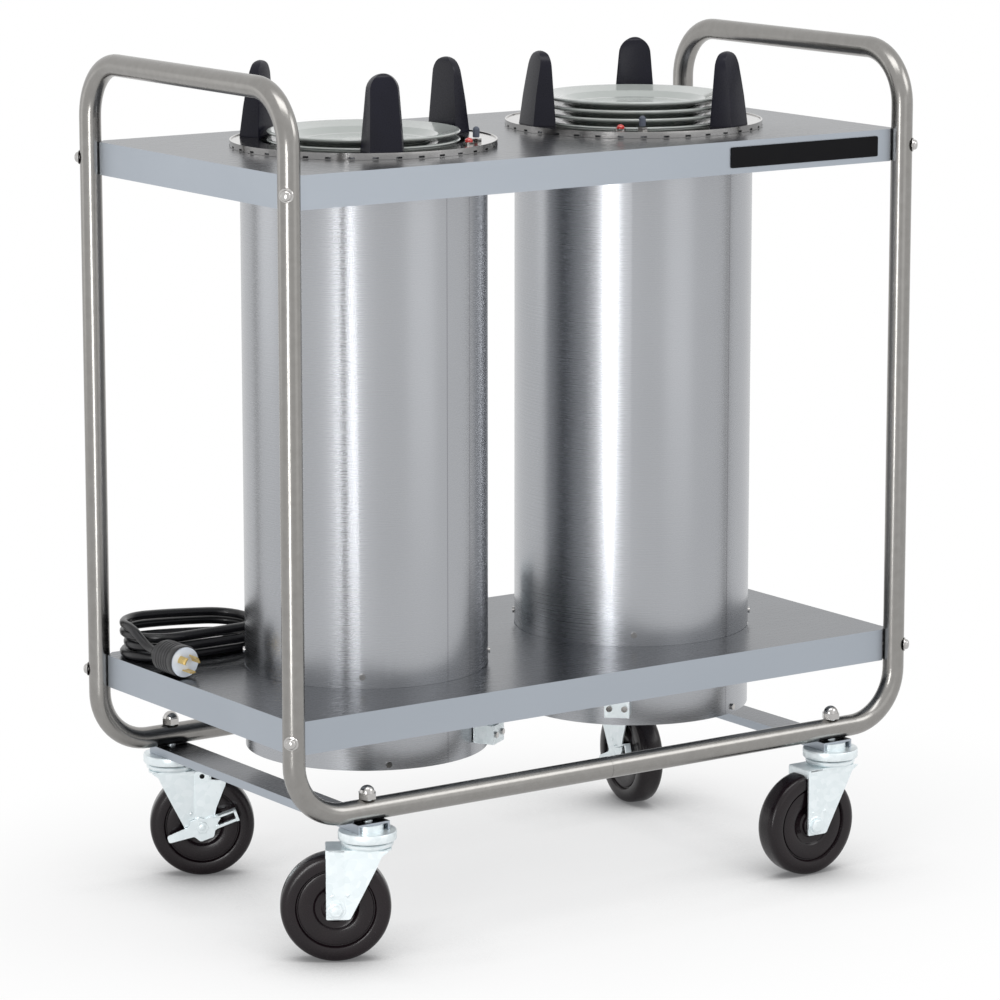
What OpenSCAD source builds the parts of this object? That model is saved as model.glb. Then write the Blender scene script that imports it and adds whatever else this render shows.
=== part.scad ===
// Two-silo plate dispenser cart: an open tube frame on swivel casters carries two folded
// decks, and two sheet metal silos hang through both decks. Each silo holds a sprung
// carrier that keeps the top plate at hand height. Millimetres, +Z up, the origin on the
// floor under the middle of the frame, +X to the right seen from the front (-Y).

/* [Frame] */
// Distance between the left and right post centres
frame_length = 856; // [700:1:1000]
// Distance between the front and rear post centres
frame_depth = 430; // [400:1:520]
// Height of the push handles' centreline above the floor
handle_height = 982; // [960:1:1100]
// Height of the bottom rails' centreline above the floor
rail_height = 173; // [165:1:176]
// Outside diameter of the frame tube
tube_d = 25.4; // [22:0.1:28]
// Wall of the frame tube
tube_wall = 1.6; // [1.2:0.1:2.5]
// Centreline radius of the tube bends
bend_radius = 64; // [50:1:80]
// Gap between the two tube ends where the rails butt
butt_gap = 0.3; // [0.2:0.1:1]
// Length of the sleeve inside each rail joint
coupler_length = 90; // [60:1:140]

/* [Decks] */
// Height of the upper deck's top face
upper_deck_height = 890; // [860:1:900]
// Height of the lower deck's top face
lower_deck_height = 284; // [276:1:320]
// Depth of the turned-down apron
apron_height = 38; // [30:1:45]
// Sheet thickness of the decks
deck_sheet = 1.2; // [0.9:0.1:2]
// How far the apron faces lie inside the post centres
deck_inset = 3; // [1:0.5:5]
// Diameter of the deck bolts
deck_bolt_d = 6; // [5:0.5:8]

/* [Silos] */
// Outside diameter of a silo
silo_d = 284; // [276:1:290]
// Sheet thickness of a silo
silo_sheet = 1.2; // [0.8:0.1:2]
// Distance of a silo's axis from the middle of the cart
silo_offset = 192; // [175:1:205]
// Height of the silos' lower ends above the floor
silo_bottom_height = 188; // [184:1:200]
// Turn of the left silo's controls from the +X direction
left_silo_turn = -53; // [-70:1:-40]
// Turn of the right silo's controls from the +X direction
right_silo_turn = -127; // [-135:1:-110]
// Outside diameter of the flange on the upper deck
flange_d = 307; // [298:1:315]
// Opening in the flange that the plates pass
flange_opening_d = 236; // [234:1:244]
// Sheet thickness of the flange
flange_sheet = 1.5; // [1:0.1:2.5]
// Height of the flange's top face above the deck
flange_rise = 6.5; // [6:0.5:12]
// Number of slots round the flange's rim
rim_slots = 36; // [24:1:48]

/* [Plate guides] */
// Height of a plate guide
guide_height = 87; // [60:1:110]
// Width of a guide's inner face
guide_width = 51; // [40:1:56]
// Width of a guide's outer face
guide_outer_width = 36; // [24:1:38]
// Radial depth of a guide at its foot
guide_depth = 27; // [20:1:28]
// Radial depth of a guide near its top
guide_top_depth = 10; // [6:1:14]

/* [Plates] */
// Diameter of a plate
plate_d = 222; // [200:1:233]
// Height of a plate
plate_height = 22; // [16:1:26]
// Step from one stacked plate to the next
plate_pitch = 9.8; // [8:0.1:14]
// Number of plates in the left silo
left_plates_count = 8; // [2:1:8]
// Number of plates in the right silo
right_plates_count = 10; // [2:1:10]

/* [Carriers] */
// Depth of the carrier's platform below the upper deck
platform_drop = 72.5; // [68:0.5:100]
// Diameter of the carrier's platform
platform_d = 214; // [180:1:226]
// Sheet thickness of the carrier
carrier_sheet = 2; // [1.5:0.1:3]
// Depth of the carrier's lower ring below the upper deck
carrier_ring_drop = 200; // [190:1:230]
// Outside diameter of a carrier spring
spring_d = 12; // [9:0.5:13]
// Wire diameter of the spring's eyes
spring_wire_d = 2; // [1.6:0.1:2.2]

/* [Casters] */
// Diameter of a wheel
wheel_d = 125; // [110:1:126]
// Width of a wheel
wheel_width = 32; // [28:1:36]
// Distance of the stems from the middle of the cart along X
caster_offset = 332; // [300:1:350]
// Horizontal distance from the stem to the axle
caster_trail = 36; // [28:1:40]
// Diameter of the caster stem
stem_d = 12; // [10:0.5:12]
// Diameter of the axle bolt
axle_d = 9.5; // [8:0.1:11]
// Running clearance of the wheel's bore, measured on the radius
axle_clearance = 0.08; // [0.02:0.01:0.1]
// Direction in which the front left wheel trails
front_left_trail = 148; // [0:1:360]
// Direction in which the front right wheel trails
front_right_trail = 179; // [0:1:360]
// Direction in which the rear left wheel trails
rear_left_trail = -30; // [-360:1:360]
// Direction in which the rear right wheel trails
rear_right_trail = -99; // [-360:1:360]

/* [Cord and plug] */
// Diameter of the power cord
cord_d = 10.4; // [9:0.1:10.6]
// Diameter of the plug's body
plug_d = 38; // [34:0.5:40]
// Length of the plug's body behind its face
plug_length = 42; // [36:1:50]

/* [Hidden] */
$fn = 96;

// One overrun serves every cut
over = 1;
// Clearance between still pieces that seat on each other
seat = 0.2;
// Clearance between pieces that move past each other
slip = 0.5;
// Clearance of a bolt in its hole, on the radius
hole_slip = 0.3;

tube_r = tube_d / 2;
half_length = frame_length / 2;
half_depth = frame_depth / 2;
rail_top = rail_height + tube_r;
rail_bottom = rail_height - tube_r;
left = -1;
right = 1;
front = -1;
rear = 1;

// A deck's outline is inset from the posts, and its corners are cut to cradle them
deck_half_length = half_length - deck_inset;
deck_half_depth = half_depth - deck_inset;
corner_cut = sqrt(2) * (tube_r + seat) - 2 * deck_inset;
deck_bolt_r = deck_bolt_d / 2;
deck_bolt_head_flats = 11;
deck_bolt_head_height = 4.5;
deck_washer_r = 8;
deck_washer_t = 1.2;
deck_nut_flats = 10;
deck_nut_height = 5;
deck_bolt_tip = 2;
deck_bolt_drop = apron_height / 2;
deck_levels = [upper_deck_height, lower_deck_height];

silo_r = silo_d / 2;
silo_inner_r = silo_r - silo_sheet;
flange_r = flange_d / 2;
flange_top = upper_deck_height + flange_rise;
flange_under = flange_top - flange_sheet;
flange_lip = 1.2;
slot_width = 7;
slot_height = 2.2;
slot_drop = 3.4;

brace_width = 42;
brace_height = 10;
brace_sheet = 2.5;
brace_overhang = 14;
brace_top = rail_bottom - seat;
brace_bottom = brace_top - brace_height;

stem_r = stem_d / 2;
stem_hole_r = stem_r + hole_slip;
nut_flats = 19;
nut_height = 7;
nut_dome_inset = 0.6;

wheel_r = wheel_d / 2;
axle_height = wheel_r;
cup_r = 32.5;
cup_height = 11;
cup_top = brace_bottom - seat;
cup_bottom = cup_top - cup_height;
crown_top = cup_bottom - slip;
crown_height = 12;
crown_r = 29.5;
crown_bottom = crown_top - crown_height;
kingpin_head_r = 11;
kingpin_head_t = 3;
leg_sheet = 2.5;
wheel_side_gap = 1.2;
wheel_hub_proud = 1;
wheel_hub_width = wheel_width + 2 * wheel_hub_proud;
leg_inner = wheel_hub_width / 2 + wheel_side_gap / 2;
leg_outer = leg_inner + leg_sheet;
leg_foot_drop = 11.7;
leg_foot_width = 27;
leg_trailing_reach = 11;
leg_knee_setback = 14;
leg_knee_drop = 19;
leg_leading_setback = 5;
axle_r = axle_d / 2;
axle_hole_r = axle_r + hole_slip / 3;
axle_nut_flats = 15;
axle_nut_height = 5;

brake_t = 2.5;
brake_gap = 0.4;

cord_r = cord_d / 2;

// Unit vectors and sums used by the swept tubes
far_off = 1000;
function unit(v) = v / norm(v);
function total(list, last) = last < 0 ? 0 : list[last] + total(list, last - 1);
function clamp01(x) = min(1, max(0, x));
function smooth(x) = let(c = clamp01(x)) c * c * (3 - 2 * c);
function polar(r, a) = [r * cos(a), r * sin(a)];

function cord_sample(p, steps) =
    [for (i = [0 : len(p) - 2]) for (k = [0 : steps - 1]) p[i] + (p[i + 1] - p[i]) * k / steps];
function path_length(p) = total([for (i = [1 : len(p) - 1]) norm(p[i] - p[i - 1])], len(p) - 2);
function turn_radius(a, b, c) =
    let(twice_area = norm(cross(b - a, c - a)))
    twice_area == 0 ? far_off : norm(b - a) * norm(c - b) * norm(c - a) / (2 * twice_area);
function tightest(p) = min([for (i = [1 : len(p) - 2]) turn_radius(p[i - 1], p[i], p[i + 1])]);

// Across-flats hexagon as a six-sided cylinder
module hexagon(flats, height) {
    cylinder(r = flats / 2 / cos(30), h = height, $fn = 6);
}

module hollow_circle(r, wall) {
    difference() {
        circle(r = r);
        circle(r = r - wall);
    }
}

function silo_turn(side) = side == left ? left_silo_turn : right_silo_turn;

module at_silo(side) {
    translate([side * silo_offset, 0, 0])
        rotate([0, 0, silo_turn(side)])
            children();
}

// Frame

// Front half of one end loop: half a bottom rail, a bend, a post, a bend, half a handle
module frame_half_loop() {
    rail_run = half_length - bend_radius - butt_gap / 2;
    post_run = handle_height - rail_height - 2 * bend_radius;
    handle_run = half_depth - bend_radius;
    translate([-butt_gap / 2, -half_depth, rail_height])
        rotate([0, -90, 0])
            linear_extrude(rail_run) hollow_circle(tube_r, tube_wall);
    translate([-half_length + bend_radius, -half_depth, rail_height + bend_radius])
        rotate([90, 0, 0])
            rotate([0, 0, 180])
                rotate_extrude(angle = 90)
                    translate([bend_radius, 0]) hollow_circle(tube_r, tube_wall);
    translate([-half_length, -half_depth, rail_height + bend_radius])
        linear_extrude(post_run) hollow_circle(tube_r, tube_wall);
    translate([-half_length, -handle_run, handle_height - bend_radius])
        rotate([90, 0, 90])
            rotate([0, 0, 90])
                rotate_extrude(angle = 90)
                    translate([bend_radius, 0]) hollow_circle(tube_r, tube_wall);
    translate([-half_length, 0, handle_height])
        rotate([90, 0, 0])
            linear_extrude(handle_run) hollow_circle(tube_r, tube_wall);
}

// Diagonal bore through a post, at the height of a deck's bolts
module at_deck_bolt(x_side, y_side, level) {
    translate([x_side * half_length, y_side * half_depth, level - deck_bolt_drop])
        rotate([0, 0, atan2(y_side, x_side)])
            rotate([0, 90, 0])
                children();
}

module at_stem(x_side, y_side) {
    translate([x_side * caster_offset, y_side * half_depth, 0]) children();
}

module left_frame() {
    difference() {
        union() {
            frame_half_loop();
            mirror([0, 1, 0]) frame_half_loop();
        }
        for (y_side = [front, rear]) {
            for (level = deck_levels)
                at_deck_bolt(left, y_side, level)
                    translate([0, 0, -tube_d])
                        cylinder(r = deck_bolt_r + hole_slip, h = 2 * tube_d);
            at_stem(left, y_side)
                translate([0, 0, rail_bottom - over])
                    cylinder(r = stem_hole_r, h = tube_d + 2 * over);
        }
    }
}

module left_frame_tube() {
    color("silver") left_frame();
}

module right_frame_tube() {
    color("silver") mirror([1, 0, 0]) left_frame();
}

module rail_couplers() {
    color("gray")
        for (y_side = [front, rear])
            translate([-coupler_length / 2, y_side * half_depth, rail_height])
                rotate([0, 90, 0])
                    cylinder(r = tube_r - tube_wall - seat, h = coupler_length);
}

// Decks

module deck_outline(inset) {
    x = deck_half_length - inset;
    y = deck_half_depth - inset;
    // The cut corner's face moves in by the same inset
    c = corner_cut - inset * (2 - sqrt(2));
    polygon([[-x + c, -y], [x - c, -y], [x, -y + c], [x, y - c],
        [x - c, y], [-x + c, y], [-x, y - c], [-x, -y + c]]);
}

module deck_tray(level) {
    difference() {
        translate([0, 0, level - apron_height])
            linear_extrude(apron_height) deck_outline(0);
        translate([0, 0, level - apron_height - over])
            linear_extrude(apron_height + over - deck_sheet) deck_outline(deck_sheet);
        for (side = [left, right])
            translate([side * silo_offset, 0, level - apron_height - over])
                cylinder(r = silo_r + slip, h = apron_height + 2 * over);
        for (x_side = [left, right])
            for (y_side = [front, rear])
                at_deck_bolt(x_side, y_side, level)
                    translate([0, 0, -2 * tube_d])
                        cylinder(r = deck_bolt_r + hole_slip, h = 2 * tube_d);
    }
}

module upper_deck() {
    color("lightsteelblue")
        difference() {
            deck_tray(upper_deck_height);
            translate([plate_mark_x, -deck_half_depth, upper_deck_height - deck_bolt_drop])
                for (side = [left, right])
                    translate([side * plate_mark_rivet_x, over, 0])
                        rotate([90, 0, 0])
                            cylinder(r = plate_mark_rivet_r + seat, h = deck_sheet + 2 * over);
        }
}

module lower_deck() {
    color("lightsteelblue")
        difference() {
            deck_tray(lower_deck_height);
            for (place = lead_drops)
                translate([place[0], place[1], lower_deck_height - deck_sheet - over])
                    cylinder(r = lead_r + lead_hole_slip, h = deck_sheet + 2 * over);
        }
}

module deck_bolts() {
    reach = tube_r + seat + deck_sheet + deck_nut_height + deck_bolt_tip;
    color("gainsboro")
        for (x_side = [left, right])
            for (y_side = [front, rear])
                for (level = deck_levels)
                    at_deck_bolt(x_side, y_side, level) {
                        translate([0, 0, -reach])
                            cylinder(r = deck_bolt_r, h = reach + tube_r + deck_washer_t);
                        translate([0, 0, tube_r + seat])
                            cylinder(r = deck_washer_r, h = deck_washer_t);
                        translate([0, 0, tube_r + seat + deck_washer_t / 2])
                            hexagon(deck_bolt_head_flats,
                                deck_bolt_head_height + deck_washer_t / 2);
                    }
}

module deck_nuts() {
    color("gainsboro")
        for (x_side = [left, right])
            for (y_side = [front, rear])
                for (level = deck_levels)
                    at_deck_bolt(x_side, y_side, level)
                        translate([0, 0, -tube_r - 2 * seat - deck_sheet - deck_nut_height])
                            difference() {
                                hexagon(deck_nut_flats, deck_nut_height);
                                translate([0, 0, -over])
                                    cylinder(r = deck_bolt_r + seat,
                                        h = deck_nut_height + 2 * over);
                            }
}

// Blank plate riveted to the upper apron
plate_mark_x = 284;
plate_mark_length = 218;
plate_mark_height = 24;
plate_mark_t = 1.5;
plate_mark_corner_r = 2;
plate_mark_rivet_r = 1.6;
plate_mark_rivet_x = 101;

module name_plate() {
    long = plate_mark_length / 2 - plate_mark_corner_r;
    tall = plate_mark_height / 2 - plate_mark_corner_r;
    color("dimgray")
        translate([plate_mark_x, -deck_half_depth - seat / 2,
            upper_deck_height - deck_bolt_drop])
            rotate([90, 0, 0]) {
                linear_extrude(plate_mark_t)
                    union() {
                        square([2 * long, plate_mark_height], center = true);
                        square([plate_mark_length, 2 * tall], center = true);
                        for (x = [-long, long])
                            for (y = [-tall, tall])
                                translate([x, y]) circle(r = plate_mark_corner_r);
                    }
                for (side = [left, right])
                    translate([side * plate_mark_rivet_x, 0, -deck_sheet - over])
                        cylinder(r = plate_mark_rivet_r, h = deck_sheet + over + seat);
            }
}

// Braces and casters

module cross_brace(side) {
    long = 2 * (half_depth + brace_overhang);
    translate([side * caster_offset, 0, brace_bottom])
        difference() {
            translate([-brace_width / 2, -long / 2, 0])
                cube([brace_width, long, brace_height]);
            translate([-brace_width / 2 + brace_sheet, -long / 2 - over, -over])
                cube([brace_width - 2 * brace_sheet, long + 2 * over,
                    brace_height - brace_sheet + over]);
            for (y_side = [front, rear])
                translate([0, y_side * half_depth, -over])
                    cylinder(r = stem_hole_r, h = brace_height + 2 * over);
        }
}

module left_cross_brace() {
    color("lightslategray") cross_brace(left);
}

module right_cross_brace() {
    color("lightslategray") cross_brace(right);
}

// Fixed half of a caster: stem, spacer in the brace, bearing cup and kingpin head
module caster_stem() {
    spacer_r = brace_width / 2 - brace_sheet - seat;
    translate([0, 0, crown_bottom - seat - kingpin_head_t]) {
        cylinder(r = kingpin_head_r, h = kingpin_head_t);
        cylinder(r = stem_r, h = rail_top + nut_height - crown_bottom + seat + kingpin_head_t);
    }
    translate([0, 0, cup_bottom])
        rotate_extrude()
            polygon([[0, 0], [cup_r - cup_height / 3, 0], [cup_r, cup_height / 3],
                [cup_r, cup_height], [0, cup_height]]);
    translate([0, 0, cup_top - over])
        cylinder(r = spacer_r, h = brace_height - brace_sheet + over);
}

module caster_stems() {
    color("lightgray")
        for (x_side = [left, right])
            for (y_side = [front, rear])
                at_stem(x_side, y_side) caster_stem();
}

module caster_acorn_nuts() {
    dome_r = nut_flats / 2 - nut_dome_inset;
    color("gainsboro")
        for (x_side = [left, right])
            for (y_side = [front, rear])
                at_stem(x_side, y_side)
                    translate([0, 0, rail_top + seat / 2])
                        difference() {
                            union() {
                                hexagon(nut_flats, nut_height);
                                translate([0, 0, nut_height - over / 2])
                                    intersection() {
                                        sphere(r = dome_r);
                                        cylinder(r = dome_r + over, h = dome_r + over);
                                    }
                            }
                            translate([0, 0, -over])
                                cylinder(r = stem_r + seat / 2, h = nut_height + over);
                        }
}

// Side outline of a fork leg: x runs along the trail, y is the height above the floor
leg_trailing = caster_trail + leg_trailing_reach;
leg_leading = -crown_r + leg_leading_setback;

module fork_leg_outline() {
    foot_low = axle_height - leg_foot_drop;
    polygon([[leg_leading, crown_bottom], [leg_trailing, crown_bottom],
        [leg_trailing, foot_low], [leg_trailing - leg_foot_width, foot_low],
        [leg_leading + leg_knee_setback, crown_bottom - leg_knee_drop]]);
}

// A fork in its own frame: the stem at the origin, the wheel trailing along +X
module fork() {
    difference() {
        union() {
            translate([0, 0, crown_bottom])
                cylinder(r = crown_r, h = crown_height);
            translate([0, -leg_outer, crown_bottom])
                cube([leg_trailing, 2 * leg_outer, leg_sheet]);
            for (y = [-leg_outer, leg_inner])
                translate([0, y + leg_sheet, 0])
                    rotate([90, 0, 0])
                        linear_extrude(leg_sheet) fork_leg_outline();
            for (y = [-leg_outer, leg_inner])
                translate([leg_leading, y, crown_bottom - over])
                    cube([leg_trailing - leg_leading, leg_sheet, leg_sheet + over]);
        }
        translate([0, 0, crown_bottom - over])
            cylinder(r = stem_r + slip, h = crown_height + 2 * over);
        translate([caster_trail, leg_outer + over, axle_height])
            rotate([90, 0, 0])
                cylinder(r = axle_hole_r, h = 2 * (leg_outer + over));
    }
}

module axle() {
    translate([caster_trail, 0, axle_height])
        rotate([90, 0, 0]) {
            translate([0, 0, -leg_outer - axle_nut_height / 2])
                cylinder(r = axle_r, h = 2 * leg_outer + axle_nut_height);
            translate([0, 0, leg_outer + seat])
                hexagon(axle_nut_flats, axle_nut_height - seat);
            translate([0, 0, -leg_outer - axle_nut_height])
                hexagon(axle_nut_flats, axle_nut_height - seat);
        }
}

// Half section of a wheel: tread, rim step, web, ring and hub
wheel_rim_r = 3;
wheel_web_r = 44;
wheel_web_depth = 3;
wheel_ring_r = 26;
wheel_ring_depth = 2;
wheel_hub_r = 14;
wheel_draft = 1;

module wheel() {
    half = wheel_width / 2;
    hub_half = wheel_hub_width / 2;
    bore = axle_r + axle_clearance;
    tread = [for (a = [0 : 15 : 90])
        [wheel_r - wheel_rim_r + wheel_rim_r * cos(a), half - wheel_rim_r + wheel_rim_r * sin(a)]];
    side = [[wheel_web_r, half],
        [wheel_web_r - wheel_draft, half - wheel_web_depth],
        [wheel_ring_r, half - wheel_web_depth],
        [wheel_ring_r - wheel_draft, half - wheel_web_depth - wheel_ring_depth],
        [wheel_hub_r + wheel_draft, half - wheel_web_depth - wheel_ring_depth],
        [wheel_hub_r, hub_half], [bore, hub_half]];
    top = concat(tread, side);
    bottom = [for (i = [len(top) - 1 : -1 : 0]) [top[i][0], -top[i][1]]];
    translate([caster_trail, 0, axle_height])
        rotate([90, 0, 0])
            rotate_extrude() polygon(concat(top, bottom));
}

// Side brake: a lever plate on the axle with a foot tab at each end
brake_arm = 34;
brake_arm_width = 15;
brake_hub_r = 14;
brake_tab_length = 14;
brake_tab_width = 12;
brake_tilt = 20;
brake_hole_r = axle_nut_flats / 2 / cos(30) + brake_gap;

module brake_lever() {
    translate([caster_trail, leg_outer + brake_gap, axle_height])
        rotate([0, -brake_tilt, 0])
            rotate([-90, 0, 0])
                difference() {
                    union() {
                        linear_extrude(brake_t)
                            union() {
                                circle(r = brake_hub_r);
                                square([2 * brake_arm, brake_arm_width], center = true);
                            }
                        for (side = [left, right])
                            translate([side * brake_arm - brake_tab_width / 2,
                                -brake_arm_width / 2, 0])
                                cube([brake_tab_width, brake_t, brake_tab_length]);
                    }
                    translate([0, 0, -over])
                        cylinder(r = brake_hole_r, h = brake_t + 2 * over);
                }
}

module caster_at(x_side, y_side, trail) {
    at_stem(x_side, y_side) rotate([0, 0, trail]) children();
}

module front_left_fork() {
    color("lightgray") caster_at(left, front, front_left_trail) fork();
}
module front_right_fork() {
    color("lightgray") caster_at(right, front, front_right_trail) fork();
}
module rear_left_fork() {
    color("lightgray") caster_at(left, rear, rear_left_trail) fork();
}
module rear_right_fork() {
    color("lightgray") caster_at(right, rear, rear_right_trail) fork();
}
module front_left_axle() {
    color("silver") caster_at(left, front, front_left_trail) axle();
}
module front_right_axle() {
    color("silver") caster_at(right, front, front_right_trail) axle();
}
module rear_left_axle() {
    color("silver") caster_at(left, rear, rear_left_trail) axle();
}
module rear_right_axle() {
    color("silver") caster_at(right, rear, rear_right_trail) axle();
}
module front_left_wheel() {
    color("black") caster_at(left, front, front_left_trail) wheel();
}
module front_right_wheel() {
    color("black") caster_at(right, front, front_right_trail) wheel();
}
module rear_left_wheel() {
    color("black") caster_at(left, rear, rear_left_trail) wheel();
}
module rear_right_wheel() {
    color("black") caster_at(right, rear, rear_right_trail) wheel();
}
module rear_left_brake() {
    color("gainsboro") caster_at(left, rear, rear_left_trail) mirror([0, 1, 0]) brake_lever();
}
module rear_right_brake() {
    color("gainsboro") caster_at(right, rear, rear_right_trail) mirror([0, 1, 0]) brake_lever();
}

// Silos

screw_r = 2;
screw_head_r = 3.6;
screw_head_t = 2.2;
base_rim_height = 14;
base_sheet = 1.5;
base_screw_rise = base_rim_height / 2;
guide_turns = [-60, 60, 180];
spring_turns = [30, 150, 270];
deck_clip_turns = [-35, 55, 145, 235];
deck_clip_rise = 14;

module radial_hole(r, inner, outer) {
    translate([inner, 0, 0])
        rotate([0, 90, 0])
            cylinder(r = r, h = outer - inner);
}

module silo_tube(side) {
    at_silo(side)
        difference() {
            translate([0, 0, silo_bottom_height])
                cylinder(r = silo_r, h = flange_under - seat - silo_bottom_height, $fn = 192);
            translate([0, 0, silo_bottom_height - over])
                cylinder(r = silo_inner_r, h = flange_under - silo_bottom_height + 2 * over,
                    $fn = 192);
            for (turn = guide_turns)
                rotate([0, 0, turn])
                    translate([0, 0, silo_bottom_height + base_screw_rise])
                        radial_hole(screw_r + seat, silo_inner_r - over, silo_r + over);
            for (turn = deck_clip_turns)
                rotate([0, 0, turn - silo_turn(side)])
                    translate([0, 0, lower_deck_height + deck_clip_rise])
                        radial_hole(screw_r + seat, silo_inner_r - over, silo_r + over);
            rotate([0, 0, connector_turn])
                translate([0, 0, connector_height])
                    radial_hole(connector_nipple_r + seat, silo_inner_r - over, silo_r + over);
        }
}

module left_silo_tube() {
    color("lightgray") silo_tube(left);
}

module right_silo_tube() {
    color("lightgray") silo_tube(right);
}

// Pan that closes the silo's lower end
module silo_base(side) {
    outer = silo_inner_r - seat;
    at_silo(side)
        translate([0, 0, silo_bottom_height + base_sheet])
            difference() {
                cylinder(r = outer, h = base_rim_height, $fn = 192);
                translate([0, 0, base_sheet])
                    cylinder(r = outer - base_sheet, h = base_rim_height, $fn = 192);
                for (turn = guide_turns)
                    rotate([0, 0, turn])
                        translate([0, 0, base_screw_rise - base_sheet])
                            radial_hole(screw_r + seat, outer - base_sheet - over, outer + over);
                for (turn = heater_foot_turns)
                    rotate([0, 0, turn])
                        translate([heater_ring_r, 0, -over])
                            cylinder(r = screw_r + seat, h = base_sheet + 2 * over);
            }
}

module left_silo_base() {
    color("silver") silo_base(left);
}

module right_silo_base() {
    color("silver") silo_base(right);
}

module silo_screw(length) {
    rotate([0, 90, 0]) {
        translate([0, 0, -length]) cylinder(r = screw_r, h = length);
        cylinder(r = screw_head_r, h = screw_head_t);
    }
}

module silo_screws() {
    color("gainsboro")
        for (side = [left, right])
            at_silo(side) {
                for (turn = guide_turns)
                    rotate([0, 0, turn])
                        translate([silo_r + seat, 0, silo_bottom_height + base_screw_rise])
                            silo_screw(silo_sheet + base_sheet + 3 * seat);
                for (turn = deck_clip_turns)
                    rotate([0, 0, turn - silo_turn(side)])
                        translate([silo_r + seat, 0, lower_deck_height + deck_clip_rise])
                            silo_screw(silo_sheet + 2 * seat);
                for (turn = guide_turns)
                    rotate([0, 0, turn])
                        translate([guide_middle, 0, flange_under - screw_head_t - seat])
                            union() {
                                cylinder(r = screw_head_r, h = screw_head_t);
                                cylinder(r = screw_r,
                                    h = screw_head_t + flange_sheet + guide_screw_depth);
                            }
            }
}

// Ring heater on three feet above the base pan
heater_ring_r = 100;
heater_rod_r = 4;
heater_lift = 18;
heater_foot_turns = [0, 120, 240];
heater_foot_r = 5;

module heater(side) {
    ring_height = silo_bottom_height + 2 * base_sheet + heater_lift;
    at_silo(side) {
        translate([0, 0, ring_height])
            rotate_extrude() translate([heater_ring_r, 0]) circle(r = heater_rod_r);
        for (turn = heater_foot_turns)
            rotate([0, 0, turn])
                translate([heater_ring_r, 0, silo_bottom_height + 2 * base_sheet + seat])
                    cylinder(r = heater_foot_r, h = heater_lift);
    }
}

module left_heater() {
    color("dimgray") heater(left);
}

module right_heater() {
    color("dimgray") heater(right);
}

// Flange that hangs the silo from the upper deck
guide_setback = 0.5;
guide_inner = flange_opening_d / 2 + guide_setback;
guide_middle = guide_inner + guide_depth / 2;
guide_screw_depth = 12;
control_radius = 132.5;
pilot_turn = -6;
switch_turn = 5;
pilot_hole_r = 4.2;
switch_hole_r = 4.4;
hanger_radius = 130;
hanger_width = 8;
hanger_drop = 12;
hanger_t = 2;
eye_r = 4;
wire_r = spring_wire_d / 2;
eye_hole_r = wire_r + hole_slip;
hanger_hole_height = flange_under - hanger_drop + eye_r;

module flange(side) {
    at_silo(side)
        difference() {
            union() {
                translate([0, 0, upper_deck_height + seat])
                    difference() {
                        cylinder(r = flange_r, h = flange_rise + flange_lip - seat, $fn = 144);
                        translate([0, 0, -over])
                            cylinder(r = flange_r - flange_sheet,
                                h = flange_rise + flange_lip + 2 * over, $fn = 144);
                    }
                translate([0, 0, flange_under])
                    cylinder(r = flange_r - flange_sheet / 2, h = flange_sheet, $fn = 144);
                for (turn = spring_turns)
                    rotate([0, 0, turn])
                        translate([hanger_radius - hanger_t / 2, -hanger_width / 2,
                            flange_under - hanger_drop])
                            cube([hanger_t, hanger_width, hanger_drop + flange_sheet / 2]);
            }
            translate([0, 0, flange_under - over])
                cylinder(r = flange_opening_d / 2, h = flange_sheet + 2 * over, $fn = 144);
            for (i = [0 : rim_slots - 1])
                rotate([0, 0, (i + 0.5) * 360 / rim_slots])
                    translate([flange_r - flange_sheet - over, -slot_width / 2,
                        flange_top - slot_drop - slot_height])
                        cube([flange_sheet + 2 * over, slot_width, slot_height]);
            for (turn = guide_turns)
                rotate([0, 0, turn])
                    translate([guide_middle, 0, flange_under - over])
                        cylinder(r = screw_r + seat, h = flange_sheet + 2 * over);
            rotate([0, 0, pilot_turn])
                translate([control_radius, 0, flange_under - over])
                    cylinder(r = pilot_hole_r, h = flange_sheet + 2 * over);
            rotate([0, 0, switch_turn])
                translate([control_radius, 0, flange_under - over])
                    cylinder(r = switch_hole_r, h = flange_sheet + 2 * over);
            for (turn = spring_turns)
                rotate([0, 0, turn])
                    translate([0, 0, hanger_hole_height])
                        radial_hole(eye_hole_r, hanger_radius - hanger_t,
                            hanger_radius + hanger_t);
        }
}

module left_flange() {
    color("silver") flange(left);
}

module right_flange() {
    color("silver") flange(right);
}

// A guide is the common volume of its plan, its front view and its side view
guide_corner = 4;
guide_edge = 2;
guide_lean_in = 3;
guide_knee_share = 0.45;

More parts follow.
